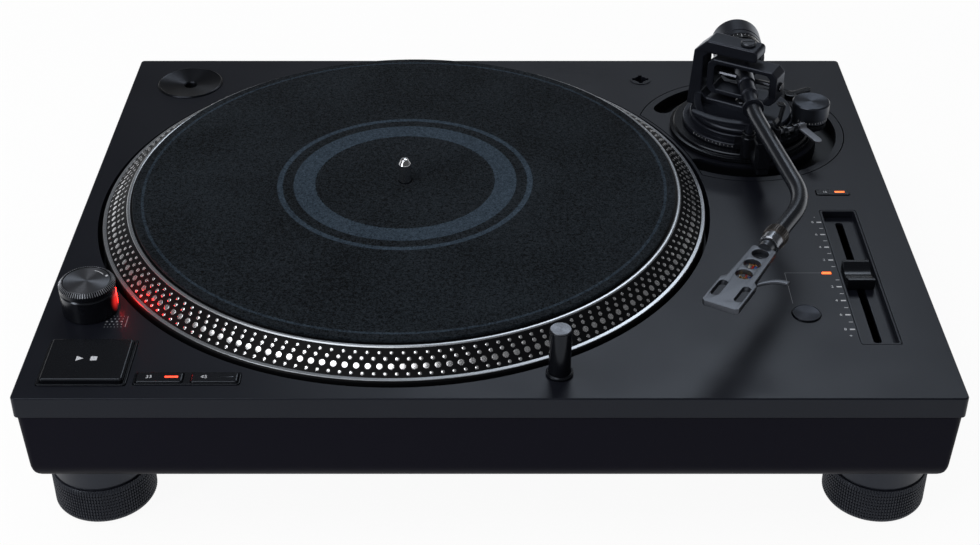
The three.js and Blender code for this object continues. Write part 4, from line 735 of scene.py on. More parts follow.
def wellBlock(margin, low=deckTop - 40, high=deckTop + 4):  # a round block that fills the platter's well
    return meshObject("well", disc(deck["well"] + margin, 256, low, high, platterAt.x, platterAt.y))


def makeDeck():
    d = deck
    size = deckHigh - deckLow
    levels = edgeLevels(deckTop - d["band"], deckTop, d["edge"])
    shell = meshObject("deckShell", softBlock(size.x, size.y, d["corner"], levels, steps=10))
    inside = (size.x - 2 * d["wall"], size.y - 2 * d["wall"], d["corner"])
    hollow = meshObject("hollow", slab(*inside, deckTop - 20, deckTop - d["plate"]))
    seat = meshObject("seat", disc(d["seat"], 160, deckTop - 30, deckTop + 2, pivot.x, pivot.y))
    cutters = [hollow, wellBlock(0, deckTop - 30, deckTop + 2), carve(seat, wellBlock(d["wellWall"]))]
    cutters.append(roundHole("record_adaptor", d["dish"]))
    cutters += [holeFor(f"{name}_frame", d["holeCorner"]) for name in ("start_stop", "speed_button")]
    cutters += [holeFor("pitch_panel", d["holeCorner"]), holeFor("zero_lens", d["lampCorner"])]
    cutters.append(holeFor("pitch_range_button", d["holeCorner"], -d["rangeLip"]))
    cutters += [roundHole(node, radius + d["gap"]) for node, radius in d["holes"].items()]
    carve(shell, *cutters)
    dress(tidy(shell, 30), deckPaint, "deck")
    under, rim, bore = 0.2 - d["plate"], d["well"] + d["wellWall"], d["motorHole"]
    floorZ = -d["wellDeep"] - d["wellWall"]
    cup = [(bore, floorZ), (rim, floorZ), (rim, under), (d["well"], under), (d["well"], -d["wellDeep"], 1.2)]
    cup.append((bore, -d["wellDeep"]))
    turnedPiece("wellCup", None, cup, deckPaint, onDeck(platterAt.x, platterAt.y), 256, like="deck")
    centre = middleOf("record_adaptor")
    floorZ, rim = -d["dishDeep"] - d["dishWall"], d["dish"] + d["dishWall"]
    dish = [
        (0, floorZ), (rim, floorZ), (rim, under), (d["dish"], under), (d["dish"], -d["dishDeep"]),
        (0, -d["dishDeep"]),
    ]
    turnedPiece("adaptorDish", None, dish, deckPaint, onDeck(centre.x, centre.y), 96, like="deck")
    inner, outer = (circle(radius, 128) for radius in d["ledge"])
    ledge = meshObject("armLedge", extrude([outer, inner], d["ledgeLow"], d["ledgeHigh"]), mast)
    dress(tidy(carve(ledge, wellBlock(0.5)), 30), deckPaint, like="deck")


cabinet = {
    "corner": 4.0, "edge": 12.0, "draft": 1.4, "wall": 4.0, "floor": 4.0, "cover": (300.0, 204.0), "gap": 0.3,
    "steps": 10, "topEdge": 0.4, "stud": 4.0, "studLow": 8.0, "boss": 9.0, "bossHigh": 12.0,
}


def makeCabinet():
    c = cabinet
    low, high = boxOf("cabinet")
    size = high - low
    feetTop = boxOf("foot_front_left")[1].z + c["gap"]
    angles = [math.pi / 2 * k / c["steps"] for k in range(c["steps"] + 1)]
    edge, draft = c["edge"], c["draft"]
    levels = [(feetTop + edge * (1 - math.cos(a)), draft + edge * (1 - math.sin(a))) for a in angles]
    levels += [(high.z - 0.5, 0.02), (high.z, c["topEdge"])]
    shell = meshObject("cabinetShell", softBlock(size.x, size.y, c["corner"], levels, steps=12))
    inside = (size.x - 2 * c["wall"], size.y - 2 * c["wall"], c["corner"])
    levels = [(feetTop + c["floor"], 8), (feetTop + c["edge"], 1.4), (high.z + 2, 0)]
    cutters = [meshObject("hollow", softBlock(*inside, levels, steps=12))]
    cutters.append(wellBlock(deck["wellWall"] + 0.4, deckTop - 21, high.z + 2))
    cutters.append(meshObject("cover", slab(*c["cover"], 4, feetTop - 2, feetTop + 12)))
    for node in ("mains_inlet", "phono_terminals"):
        size, centre = sizeOf(node), middleOf(node)
        hole = slab(size.x + 2 * c["gap"], size.z + 2 * c["gap"], 1.2, -10, 10, steps=5)
        cutters.append(meshObject("hole", hole, shiftBy(centre.x, boxOf(node)[1].y, centre.z) @ upright))
    carve(shell, *cutters)
    dress(tidy(shell, 30), cabinetSkin, "cabinet")
    bossLow, bossTop = feetTop + 2, feetTop + c["bossHigh"]
    stud = [(0, c["studLow"]), (c["stud"], c["studLow"], 0.5), (c["stud"], bossLow), (c["boss"], bossLow)]
    stud += [(c["boss"], bossTop, 1), (0, bossTop)]
    for name in footPlaces:
        centre = middleOf(f"foot_{name}")
        place = standing(centre.x, centre.y)
        turnedPiece(f"stud_{name}", None, stud, darkSteel, place, 48, like="cabinet", slot="steel")


makeDeck()
makeCabinet()
print("stage 4: deck and cabinet")

# feet
foot = {
    "bore": 4.3, "padGap": 0.8, "radius": 26.0, "ringHigh": 22.3, "show": 1.8, "cup": 24.6, "ribs": 110,
    "ribDepth": 0.7, "rows": 9, "groove": 0.7, "edge": 0.9, "neck": 0.6,
}


def makeFoot(place):
    f = foot
    low, high = boxOf(f"foot_{place}")
    centre, radius = (low + high) / 2, f["radius"]
    padRadius, padHigh = sizeOf(f"foot_pad_{place}").x / 2, boxOf(f"foot_pad_{place}")[1].z
    ringFrom, ringTo = f["show"] + 1.1, f["ringHigh"] - 1.2
    rowHigh = (ringTo - ringFrom) / f["rows"]
    grid = []
    for row in range(f["rows"]):
        start, end = ringFrom + row * rowHigh, ringFrom + (row + 1) * rowHigh
        grid += [(radius, start + f["groove"] / 2), (radius, end - f["groove"] / 2)]
        if row < f["rows"] - 1:
            grid += [(radius - f["ribDepth"], end + side * f["groove"] / 4) for side in (-1, 1)]
    well, neck, top, cup = padRadius + f["padGap"], f["cup"] - f["neck"], f["ringHigh"], f["cup"]
    profile = [(f["bore"], padHigh + 0.3), (well, padHigh + 0.3), (well, f["show"])]
    profile += [(radius - f["edge"], f["show"], 0.4), *grid, (radius - f["edge"], top, 0.4)]
    profile += [(neck, top + 0.1, 0.2), (neck, top + 0.9, 0.2), (cup, top + 1.1, 0.3)]
    profile += [(cup, high.z - 0.8, 0.6), (cup - f["edge"], high.z, 0.3), (f["bore"], high.z)]
    rib = {"low": f["show"] + 1.2, "high": top - 1.3, "from": radius - 0.3, "depth": f["ribDepth"]}
    at = standing(centre.x, centre.y)
    turnedPiece(f"footBody_{place}", f"foot_{place}", profile, footRubber, at, f["ribs"] * 4, rib)
    pad = [(0, 0.6), (5, 0.6), (5.4, 0, 0.2), (padRadius - 1.2, 0, 0.8), (padRadius, 1.4, 0.6)]
    pad += [(padRadius, padHigh, 0.3), (0, padHigh)]
    turnedPiece(f"footPad_{place}", f"foot_pad_{place}", pad, mattPlastic, at, 96)


for place in footPlaces:
    makeFoot(place)
print("stage 5: feet")

# platter, mat and spindle
platter = {
    "radius": 167.4, "rim": 7.0, "skirt": 14.0, "top": 11.2, "web": 6.4, "hub": 14.0, "hubLow": 2.1,
    "bore": 3.85, "slopeLow": (165.0, 1.95), "slopeHigh": (153.5, 10.9), "ringIn": 151.5, "ringTop": 11.6,
    "sides": 256, "ringPitch": 0.35, "dotSides": 14, "dotHigh": 0.2,
}
dotRows = [  # share of the way up the slope, dots in a turn, radius
    {"at": 0.13, "count": 186, "size": 0.88},
    {"at": 0.385, "count": 180, "size": 1.55},
    {"at": 0.64, "count": 174, "size": 1.02},
    {"at": 0.85, "count": 168, "size": 0.86},
]
platterPlace = onDeck(platterAt.x, platterAt.y)


def makePlatter():
    p = platter
    radius, skirt, top, ring = p["radius"], -p["skirt"], p["top"], p["ringIn"]
    inside, under = radius - p["rim"], top - p["web"]
    (lowRadius, lowZ), (highRadius, highZ) = p["slopeLow"], p["slopeHigh"]
    body = [(p["bore"], p["hubLow"]), (p["hub"], p["hubLow"], 0.5), (p["hub"], under), (inside, under, 2)]
    body += [(inside, skirt, 0.3), (radius - 0.6, skirt, 0.3), (radius, skirt + 0.6, 0.3), (radius, 0.6, 0.5)]
    body += [(radius - 0.7, 1.7, 0.3), (lowRadius, lowZ - 0.1, 0.2), (highRadius, highZ, 0.3)]
    body += [(ring + 0.3, p["ringTop"] - 0.2, 0.2), (ring - 0.4, top, 0.2), (p["bore"], top)]
    f = Finish("platterMetal", specular=0.06)
    rings = f.rings(f.radius(platterAt), p["ringPitch"])
    grain = rings * 0.6 + f.noise(0.5, 2) * 0.4
    f.set(
        colour=f.blend(grain, tint(8, 8, 10), tint(16, 17, 19)), roughness=f.span(rings, 0.3, 0.7, 0.4, 0.5)
    )
    f.bump(rings, 0.006)
    turnedPiece("platterBody", "platter", body, f.material, platterPlace, p["sides"])
    outer = [(lowRadius, 1.2), (radius - 0.5, 1.2), (radius - 0.55, 1.76, 0.2), (lowRadius + 0.1, 2.02, 0.1)]
    inner = [(ring - 0.25, top - 0.6), (highRadius - 0.4, top - 0.9), (highRadius - 0.35, 11.05, 0.1)]
    inner += [
        (highRadius - 0.9, 11.5, 0.2), (ring + 0.2, p["ringTop"], 0.2),
        (ring - 0.25, p["ringTop"] - 0.2, 0.1),
    ]
    shades = (tint(132, 136, 142), tint(182, 186, 192), 0.3)
    bright = spun("platterCut", *shades, platterAt, 0.3, metallic=0.85, depth=0.004, spread=0.0)
    for name, profile in (("outerRing", outer), ("innerRing", inner)):
        turnedPiece(name, None, profile, bright, platterPlace, p["sides"], like="platter")
    lean = math.atan2(highZ - lowZ, lowRadius - highRadius)
    dots = []
    for row in dotRows:
        spot = Vector(p["slopeLow"]).lerp(Vector(p["slopeHigh"]), row["at"])
        size, high = row["size"], p["dotHigh"]
        dot = [(0, -0.3), (size, -0.3), (size, high - 0.06), (size * 0.86, high), (0, high)]
        shape = spin(dot, p["dotSides"], steps=1)
        for i in range(row["count"]):
            turn = turnBy(2 * math.pi * i / row["count"])
            dots.append(moved(shape, turn @ shiftBy(spot.x, 0, spot.y) @ turnBy(lean, "Y")))
    shades = (tint(198, 200, 204), tint(236, 237, 240), 0.26)
    dotMetal = grained("dotMetal", *shades, 0.3, 0.002, metallic=0.93, specular=0.5)
    trim("strobeDots", merged(*dots), dotMetal, "platter", platterPlace, 40)


mat = {
    "radius": 150.0, "low": 11.5, "thick": 1.8, "bore": 4.1, "border": (143.6, 145.2), "borderStrength": 0.6,
    "bands": ((50.0, 62.0), (68.0, 71.0)), "fray": 1.1, "felt": 0.45,
}


def makeMat():
    m = mat
    f = Finish("matFelt", roughness=0.95, specular=0.02, sheen=0.06, sheenRoughness=0.4)
    where = f.coords(platterAt)
    out = f.radius(platterAt)
    fibre = f.noise(0.8, 5, where, 0.75)
    tuft = f.noise(2.2, 3, where)
    wide = f.noise(45, 2, where)
    fluff = fibre * 0.7 + tuft * 0.2 + wide * 0.1
    cloth = f.blend(f.span(fluff, 0.4, 0.64), tint(0, 1, 3), tint(38, 44, 50))
    printed = f.blend(f.span(fluff, 0.34, 0.66), tint(18, 26, 34), tint(60, 73, 86))
    soft = (fibre - 0.5) * m["fray"]

    def band(frayed, inner, outer, edge):
        return f.span(frayed, inner - edge, inner + edge) * f.span(frayed, outer - edge, outer + edge, 1, 0)

    first, second = (band(out + soft, *reach, 0.3) for reach in m["bands"])
    border = band(out + soft * 0.5, *m["border"], 0.2) * m["borderStrength"]
    f.set(colour=f.blend((first + second + border).clamp(), cloth, printed))
    f.bump(fibre * 0.7 + tuft * 0.3, m["felt"])
    top = m["low"] + m["thick"]
    profile = [
        (m["bore"], m["low"]), (m["radius"], m["low"], 0.4), (m["radius"], top, 0.8), (m["bore"], top, 0.3),
    ]
    felt = turnedPiece("slipMat", "slipmat", profile, f.material, platterPlace, 256)


spindle = {
    "radius": 3.55, "low": -33.0, "top": 27.3, "cone": 3.2, "rotor": 62.0, "rotorLow": -4.4,
    "rotorHigh": -2.0, "hub": 11.0, "hubTop": 1.8,
}


def makeSpindle():
    s = spindle
    radius, rotor, high, top = s["radius"], s["rotor"], s["rotorHigh"], s["top"]
    profile = [(0, s["low"]), (radius, s["low"], 0.5), (radius, s["rotorLow"]), (rotor, s["rotorLow"], 0.4)]
    profile += [
        (rotor, high, 0.4), (s["hub"] + 0.6, high, 0.4), (s["hub"], s["hubTop"], 0.4),
        (radius, s["hubTop"]),
    ]
    profile += [(radius, top - s["cone"], 1.5), (radius * 0.55, top - 0.4, 1.2), (0, top)]
    turnedPiece("spindleShaft", "spindle", profile, brightMetal, platterPlace, 64)


makePlatter()
makeMat()
makeSpindle()
print("stage 6: platter, mat and spindle")

# record adaptor
adaptor = {"rise": 0.9, "rim": 1.1, "hollow": 1.7, "bore": 3.85}


def makeAdaptor():
    a = adaptor
    low, high = boxOf("record_adaptor")
    radius, centre = (high.x - low.x) / 2, (low + high) / 2
    floorZ, rise, bore = low.z - deckTop, a["rise"], a["bore"]
    profile = [
        (bore, floorZ), (radius - 0.6, floorZ, 0.3), (radius, floorZ + 0.6, 0.3), (radius, rise - 0.5, 0.4),
    ]
    profile += [(radius - 0.7, rise, 0.3), (radius - a["rim"], rise - 0.1, 0.2)]
    fall = a["hollow"] / (radius - a["rim"] - bore)
    edge = radius - a["rim"] - 0.3
    profile += [(edge, rise - 0.3), (bore + 0.6, rise - 0.3 - fall * (edge - bore - 0.6), 0.2)]
    profile += [(bore, rise - 0.9 - a["hollow"])]
    shades = (tint(20, 22, 26), tint(44, 47, 54), 0.34)
    metal = spun("adaptorMetal", *shades, centre, 0.3, metallic=0.85, depth=0.003)
    turnedPiece("recordAdaptor", "record_adaptor", profile, metal, onDeck(centre.x, centre.y), 160)


# start and speed buttons
buttons = {
    "wall": 1.3, "corner": 1.6, "edge": 1.0, "gap": 0.3, "digits": 3.2, "lampLong": 6.4, "lampFrom": 5.6,
}
marks = {
    "triangle": [(-5.2, -1.9), (-1.6, 0), (-5.2, 1.9)],
    "square": [(1.7, -1.6), (4.9, -1.6), (4.9, 1.6), (1.7, 1.6)],
}
printed = 0.03  # thickness of printed marks


def makeButton(node):
    low, high = boxOf(node)
    size, centre = high - low, (low + high) / 2
    levels = edgeLevels(low.z, high.z, buttons["edge"], 0.1)
    cap = softBlock(size.x, size.y, buttons["corner"], levels, centre.x, centre.y)
    dress(tidy(meshObject(node + "Cap", cap), 34), blackPlastic, node)


def makeSurround(node, buttonNodes):
    b = buttons
    low, high = boxOf(node)
    size, centre = high - low, (low + high) / 2
    levels = edgeLevels(low.z, high.z, 0.3, 0.1)
    outer = meshObject(node + "Surround", softBlock(size.x, size.y, b["corner"], levels, centre.x, centre.y))
    cutters = []
    for button in buttonNodes:
        size, centre = sizeOf(button), middleOf(button)
        wide, long = size.x + 2 * b["gap"], size.y + 2 * b["gap"]
        hole = slab(wide, long, b["corner"] * 0.8, low.z + b["wall"], high.z + 2, centre.x, centre.y, steps=6)
        cutters.append(meshObject("hole", hole))
    dress(tidy(carve(outer, *cutters), 34), blackPlastic, node)


def makeButtons():
    b = buttons
    groups = {
        "start_stop_frame": ["start_stop_button"],
        "speed_button_frame": ["speed_33_button", "speed_45_button"],
    }
    for surround, nodes in groups.items():
        for node in nodes:
            makeButton(node)
        makeSurround(surround, nodes)
    centre = middleOf("start_stop_button")
    top = shiftBy(centre.x, centre.y, boxOf("start_stop_button")[1].z)
    shapes = (extrude([outline], 0, printed) for outline in marks.values())
    trim("startMark", merged(*shapes), ink, "start_stop_button", top)
    for node, words, lens in (("speed_33_button", "33", redLens), ("speed_45_button", "45", None)):
        low, high = boxOf(node)
        y = (low.y + high.y) / 2
        label(node + "Mark", words, b["digits"], ink, node, shiftBy(low.x + 6.2, y, high.z + 0.02))
        wide, x = 1.2 if lens else 0.6, high.x - b["lampFrom"]
        bar = slab(b["lampLong"], wide, 0.25, high.z - 0.1, high.z + 0.1, x, y, edge=0.05)
        trim(node + "Light", bar, lens or darkSteel, node, slot="red_lens" if lens else None)


makeAdaptor()
makeButtons()
print("stage 7: adaptor and buttons")

# power knob, strobe and stylus light
# the glow keys place the painted red light on the housing: its turn, height, fade distances and flattening
power = {
    "teeth": 70, "radius": 14.1, "neck": 11.6, "houseTop": 13.2, "deep": 9.0, "stem": 5.0, "stemLong": 7.0,
    "knob": 4.1, "bevel": 1.5, "windowTurn": 25.0, "windowSpan": 24.0, "windowZ": (2.8, 12.2),
    "windowThick": 1.6, "paintedRedLightTurn": -0.16, "paintedRedLightHigh": 7.4, "paintedRedLightSpan": (0.0, 5.2), "paintedRedLightFlat": 0.7,
    "dot": (0.7, 9.4, 4.2), "arc": (9.0, 9.3, 0.62, 1.3),
}
legend = {  # printed dots, from the knob's centre: their radius and number in each row
    "x": 9.0, "y": -6.5, "wide": 10.0, "pitch": 2.3,
    "rows": [(0.28, 6), (0.4, 5), (0.6, 4), (0.4, 5), (0.28, 6)],
}
lightPost = {
    "radius": 5.4, "tail": 16.0, "top": 26.8, "cap": 0.6, "collar": 6.7, "collarHigh": 1.9, "neck": 6.2,
    "collarDeep": 13.0, "lens": (4.2, 2.4, 0.5), "lensFall": 6.4, "lensTurn": 100.0,
}


def makeHousing(centre, at):
    p = power
    radius, top, stem, foot = p["radius"], p["houseTop"], p["stem"] + 0.3, p["houseTop"] - p["stemLong"] - 0.3
    house = [(0, -p["deep"]), (p["neck"], -p["deep"], 0.4), (p["neck"], 0.3), (radius, 0.3, 0.3)]
    house += [(radius, top - 0.9, 0.4), (radius - 0.6, top, 0.4), (stem, top), (stem, foot), (0, foot)]
    body = meshObject("strobeHouse", spin(house, 160), at)
    middle, half = math.radians(p["windowTurn"]), math.radians(p["windowSpan"])
    slack, low, high = 0.3 / radius, *p["windowZ"]
    inner = radius - p["windowThick"]
    window = bandLine(inner - 0.3, radius + 2, middle - half - slack, middle + half + slack, 24)
    carve(body, meshObject("gap", extrude([window], low - 0.3, high + 0.3), at))
    # painted red light: an emission patch on the housing's side, next to the strobe window, stands in for the
    # strobe lamp's red light falling on the black plastic
    f = Finish("housingPlasticPaintedRedLight", specular=0.45, shine=coolShine, glowStrength=0.9)
    paintedRedLightAt = onDeck(centre.x, centre.y, p["paintedRedLightHigh"]) @ Vector(arc(radius, p["paintedRedLightTurn"], 0, 1)[0]).to_3d()
    distanceFromPaintedRedLight = f.distance(paintedRedLightAt, (1 / mm, 1 / mm, p["paintedRedLightFlat"] / mm))
    fine = f.noise(0.3, 3)
    f.set(colour=f.blend(fine, *paint["black"][:2]), roughness=f.span(fine, 0.3, 0.7, 0.16, 0.24))
    f.set(glow=f.blend(f.span(distanceFromPaintedRedLight + fine * 0.6, *p["paintedRedLightSpan"]), (1.0, 0.03, 0.025), (0.0, 0.0, 0.0)))
    dress(tidy(body, 30, True), f.material, "strobe_housing")
    lens = bandLine(inner, radius - 0.3, middle - half, middle + half, 24)
    platePiece("strobeLens", "strobe_window", [lens], low, high, strobeRed, at, edge=0.25)


def makeKnob(centre, at):
    p = power
    radius, stem, low = p["radius"], p["stem"], p["houseTop"] + 0.3
    top, rim = low + p["knob"], radius - p["bevel"]
    shoulder, foot = top - p["bevel"], p["houseTop"] - p["stemLong"]
    side = [(0, foot), (stem, foot, 0.3), (stem, low), (radius, low, 0.2), (radius, shoulder - 0.3)]
    side += [
        (radius, shoulder), (rim, top), (rim - 0.5, top, 0.1), (rim - 0.6, top - 0.5, 0.1), (0, top - 0.5),
    ]
    turnedPiece("powerKnob", "power_knob", side, blackPlastic, at, 180)
    teeth = [(rim - 0.6, top - 1.0), (radius + 0.02, shoulder - 0.35), (radius + 0.12, shoulder)]
    teeth += [(rim + 0.1, top + 0.1), (rim - 0.4, top + 0.1)]
    rib = {"low": top - 2 * p["bevel"], "high": top + 0.2, "from": rim, "depth": 0.7}
    shades = (tint(118, 121, 127), tint(158, 161, 168), 0.3)
    toothMetal = grained("toothMetal", *shades, 0.3, 0.003, metallic=0.85, specular=0.5)
    turnedPiece(
        "knobTeeth", None, teeth, toothMetal, at, 4 * p["teeth"], rib, sharpAngle=20, like="power_knob"
    )
    knobMetal = spun(
        "knobMetal", tint(78, 80, 86), tint(126, 129, 136), 0.36, centre, 0.32, metallic=0.95, depth=0.003
    )
    face = [(0, top - 0.7), (rim - 0.9, top - 0.7), (rim - 0.9, top - 0.1, 0.1), (0, top - 0.1)]
    turnedPiece("knobFace", None, face, knobMetal, at, 180, like="power_knob")
    size, x, y = p["dot"]
    dot = disc(size, 24, top - 0.3, top - 0.02, x, y)
    line = extrude([bandLine(*p["arc"], 12)], top - 0.3, top - 0.04)
    trim("knobDot", merged(dot, line), ink, "power_knob", at)


def makeLegend(centre):
    k = legend
    spots = []
    for row, (size, count) in enumerate(k["rows"]):
        for i in range(count):
            x = k["x"] + k["wide"] * i / count + (0.5 * k["wide"] / count)
            spots.append(disc(size, 12, 0, printed, x, k["y"] - row * k["pitch"]))
    right, middle = k["x"] + k["wide"] + 1.2, k["y"] - 2 * k["pitch"]
    spots.append(slab(0.3, 4 * k["pitch"], 0.1, 0, printed, right, middle, steps=2))
    trim("strobeLegend", merged(*spots), faintInk, "deck", onDeck(centre.x, centre.y, 0.01))


def makeLight():
    q = lightPost
    centre = middleOf("stylus_light")
    at = onDeck(centre.x, centre.y)
    radius, top, inside, outside = q["radius"], q["top"], q["radius"] + 0.3, q["collar"]
    collar = [
        (inside, -q["collarDeep"]), (q["neck"], -q["collarDeep"], 0.3), (q["neck"], 0.3),
        (outside, 0.3, 0.2),
    ]
    collar += [(outside, q["collarHigh"] - 0.7, 0.3), (outside - 0.7, q["collarHigh"], 0.3)]
    collar += [(inside, q["collarHigh"], 0.2)]
    turnedPiece("lightCollar", "light_collar", collar, blackPlastic, at, 64)
    capLow = top - q["cap"]
    post = [(0, -q["tail"]), (radius, -q["tail"], 0.4), (radius, capLow, 0.3), (0, capLow)]
    turnedPiece("lightPost", "stylus_light", post, glossBlack, at, 72)
    lightTop = spun(
        "lightTop", tint(66, 68, 73), tint(104, 107, 114), 0.3, centre, 0.25, metallic=0.95, depth=0.003
    )
    capLow += 0.01
    cap = [
        (0, capLow), (radius - 0.3, capLow, 0.1), (radius - 0.3, top - 0.2, 0.1), (radius - 0.5, top, 0.1),
        (0, top),
    ]
    turnedPiece("lightCap", None, cap, lightTop, at, 72, like="stylus_light")
    face = at @ turnBy(math.radians(q["lensTurn"])) @ shiftBy(radius, 0, top - q["lensFall"]) @ aside
    trim("lightLens", slab(*q["lens"], -0.5, 0.06, edge=0.05), whiteDot, "stylus_light", face)


def makePower():
    centre = middleOf("strobe_housing")
    at = onDeck(centre.x, centre.y)
    makeHousing(centre, at)
    makeKnob(centre, at)
    makeLegend(centre)
    makeLight()


# pitch control
pitch = {
    "sink": 4.2, "wall": 1.0, "slot": (4.2, 112.0), "travel": 50.0, "steps": 8, "long": (2.6, 1.0),
    "short": (2.0, 0.4), "digits": 2.7, "digitsFrom": 5.8, "signs": 3.0, "signsFrom": 4.0, "signsPast": 5.5,
    "line": 0.22,
}
fader = {"rise": 2.2, "hollow": 2.9, "ridge": 2.0, "stem": (3.3, 8.0), "stemSpan": (-14, -3.6), "slim": 1.6}
rangeButton = {
    "flange": 3.0, "lip": 4.3, "lamp": (5.6, 1.6, 0.4), "lampOff": 3.9, "digits": 2.4, "digitsOff": -4.4,
}


def makePanel():
    p = pitch
    low, high = boxOf("pitch_panel")
    size, (x, y, z) = high - low, (low + high) / 2
    panel = meshObject("pitchTray", slab(size.x, size.y, 1.4, low.z, high.z, x, y, edge=0.15))
    wide, long = size.x - 2 * p["wall"], size.y - 2 * p["wall"]
    hollow = meshObject("hollow", slab(wide, long, 1.0, high.z - p["sink"], high.z + 2, x, y))
    slot = meshObject("slot", slab(*p["slot"], 1.9, low.z - 2, high.z, x, y))
    carve(panel, hollow, slot)
    dress(tidy(panel, 34), deckPaint, "pitch_panel")


def makeFader():
    f = fader
    low, high = boxOf("pitch_fader_knob")
    at = onDeck(middleOf("pitch_panel").x, (low.y + high.y) / 2)
    half, rise, bottom = (high.y - low.y) / 2, f["rise"], 0.6 - pitch["sink"]
    valley = half - f["ridge"]
    line = [(-half, bottom, 0.3), (half, bottom, 0.3), (half, rise, 0.7), (valley + 0.9, rise, 0.5)]
    shares = [1 - k / 6 for k in range(0, 13)]
    line += [(valley * share, rise - f["hollow"] * (1 - share ** 2)) for share in shares]
    line += [(-valley - 0.9, rise, 0.5), (-half, rise, 0.7)]
    wide = high.x - low.x - f["slim"]
    cap = moved(extrude([soften(line)], -wide / 2, wide / 2, 0.4), at @ turnBy(math.pi / 2) @ upright)
    stem = moved(slab(*f["stem"], 0.8, *f["stemSpan"]), at)
    dress(tidy(meshObject("faderKnob", merged(cap, stem)), 30, True), blackPlastic, "pitch_fader_knob")


def makeScale():
    p = pitch
    edgeX = middleOf("pitch_panel").x - sizeOf("pitch_panel").x / 2
    zero = middleOf("pitch_fader_knob").y
    lines = []
    for step in range(-p["steps"], p["steps"] + 1):
        y, even = zero + step * p["travel"] / p["steps"], step % 2 == 0
        if step:
            long, thick = p["long"] if even else p["short"]
            lines.append(slab(long, thick, 0.1, 0, printed, edgeX - 1.0 - long / 2, y, steps=2))
        if step and even:
            place = onDeck(edgeX - p["digitsFrom"], y, 0.02)
            label(f"pitchNumber{step + 8}", str(abs(step)), p["digits"], ink, "deck", place)
    for name, sign, words in (("pitchSignMinus", 1, "-"), ("pitchSignPlus", -1, "+")):
        place = onDeck(edgeX - p["signsFrom"], zero + sign * (p["travel"] + p["signsPast"]), 0.02)
        label(name, words, p["signs"], ink, "deck", place)
    lamp, reset = middleOf("zero_lens"), middleOf("reset_button")
    right, left, low = lamp.x - 3.2, reset.x - 5.5, reset.y + 9
    across = slab(right - left, p["line"], 0.1, 0, printed, (right + left) / 2, lamp.y, steps=2)
    down = slab(p["line"], lamp.y - low, 0.1, 0, printed, left, (lamp.y + low) / 2, steps=2)
    trim("resetLine", merged(across, down), faintInk, "deck", onDeck(0, 0))
    trim("pitchMarks", merged(*lines), ink, "deck", onDeck(0, 0))
    low, high = boxOf("zero_lens")
    x, y, levels = (low.x + high.x) / 2, (low.y + high.y) / 2, edgeLevels(low.z, high.z, 0.3, 0.1, 3)
    lens = softBlock(high.x - low.x, high.y - low.y, 0.5, levels, x, y)
    dress(tidy(meshObject("zeroLight", lens), 30), amberLens, "zero_lens")


def makeRangeButton():
    r = rangeButton
    low, high = boxOf("pitch_range_button")
    size, (x, y, z) = high - low, (low + high) / 2
    under = deckTop - r["lip"]
    levels = edgeLevels(under - 1, high.z, 0.4, 0.1)
    cap = softBlock(size.x - r["flange"], size.y - r["flange"], 1.4, levels, x, y)
    flange = slab(size.x, size.y, 1.4, low.z, under, x, y, edge=0.2)
    dress(tidy(meshObject("rangeButton", merged(cap, flange)), 30), blackPlastic, "pitch_range_button")
    lamp = slab(*r["lamp"], high.z - 0.1, high.z + 0.1, x + r["lampOff"], y, edge=0.05)
    trim("rangeLight", lamp, amberLens, "pitch_range_button", slot="amber_lens")
    place = shiftBy(x + r["digitsOff"], y, high.z + 0.02)
    label("rangeMark", "16", r["digits"], ink, "pitch_range_button", place)


def makeResetButton():
    low, high = boxOf("reset_button")
    centre = (low + high) / 2
    flange, under, top = (high.x - low.x) / 2, deckTop - rangeButton["lip"], high.z
    radius = flange - 1.5
    profile = [(0, low.z), (flange, low.z, 0.3), (flange, under, 0.3), (radius, under), (radius, top, 0.3)]
    profile += [(radius - 0.5, top, 0.1)]
    profile += [(radius * share, top - 0.1 - 0.5 * (1 - share ** 2)) for share in (0.9, 0.7, 0.5, 0.3)]
    profile += [(0, top - 0.6)]
    metal = spun(
        "resetMetal", tint(24, 26, 31), tint(50, 53, 60), 0.34, centre, 0.3, metallic=0.95, depth=0.003
    )
    turnedPiece("resetButton", "reset_button", profile, metal, shiftBy(centre.x, centre.y), 128)


def makePitch():
    makePanel()
    makeFader()
    makeScale()
    makeRangeButton()
    makeResetButton()


# spare headshell holder
holder = {
    "flange": 6.7, "rise": 0.45, "neck": 6.0, "bore": 3.7, "deep": 17.0, "floor": 1.5,
    "notch": (10.6, 2.6, 5.0),
}


def makeHolder():
    h = holder
    centre = middleOf("headshell_holder")
    at = onDeck(centre.x, centre.y)
    neck, bore, rise, low = h["neck"], h["bore"], h["rise"], -h["deep"]
    cup = [(0, low), (neck, low, 0.3), (neck, 0.3), (h["flange"], 0.3, 0.2), (h["flange"], rise, 0.3)]
    cup += [(bore, rise, 0.2), (bore, low + h["floor"], 0.3), (0, low + h["floor"])]
    body = meshObject("spareHolder", spin(cup, 96), at)
    long, wide, deep = h["notch"]
    bar = slab(long, wide, 0.5, -deep, 3)
    bars = [meshObject("notch", bar, at @ turnBy(turn)) for turn in (0, math.pi / 2)]
    dress(tidy(carve(body, *bars), 30, True), deckPaint, "headshell_holder")


makePower()
makePitch()
makeHolder()
print("stage 8: knobs, light and pitch control")

# arm base and height ring
# armBase shade: heights under the deck's top across which the plate's painted shade fades in
armBase = {
    "radius": 61.3, "thick": 10.5, "bore": 28.6, "channel": (45.4, 57.0), "deep": 8.5, "from": -126.0,
    "to": 150.0, "wellGap": 0.6, "edge": 0.5, "shade": (-2.2, -0.8),
}
heightRing = {
    "sleeve": 28.4, "radius": 42.4, "band": 3.0, "topRadius": 40.5, "top": 5.3, "low": 0.3, "ribs": 120,
}
turret = {
    "deep": 12.0, "sleeve": 28.0, "step": 35.0, "stepTop": 8.5, "drum": 31.0, "drumTop": 12.0, "low": 5.6,
    "ticks": 25, "firstTick": -150, "tickTurn": 4,
}


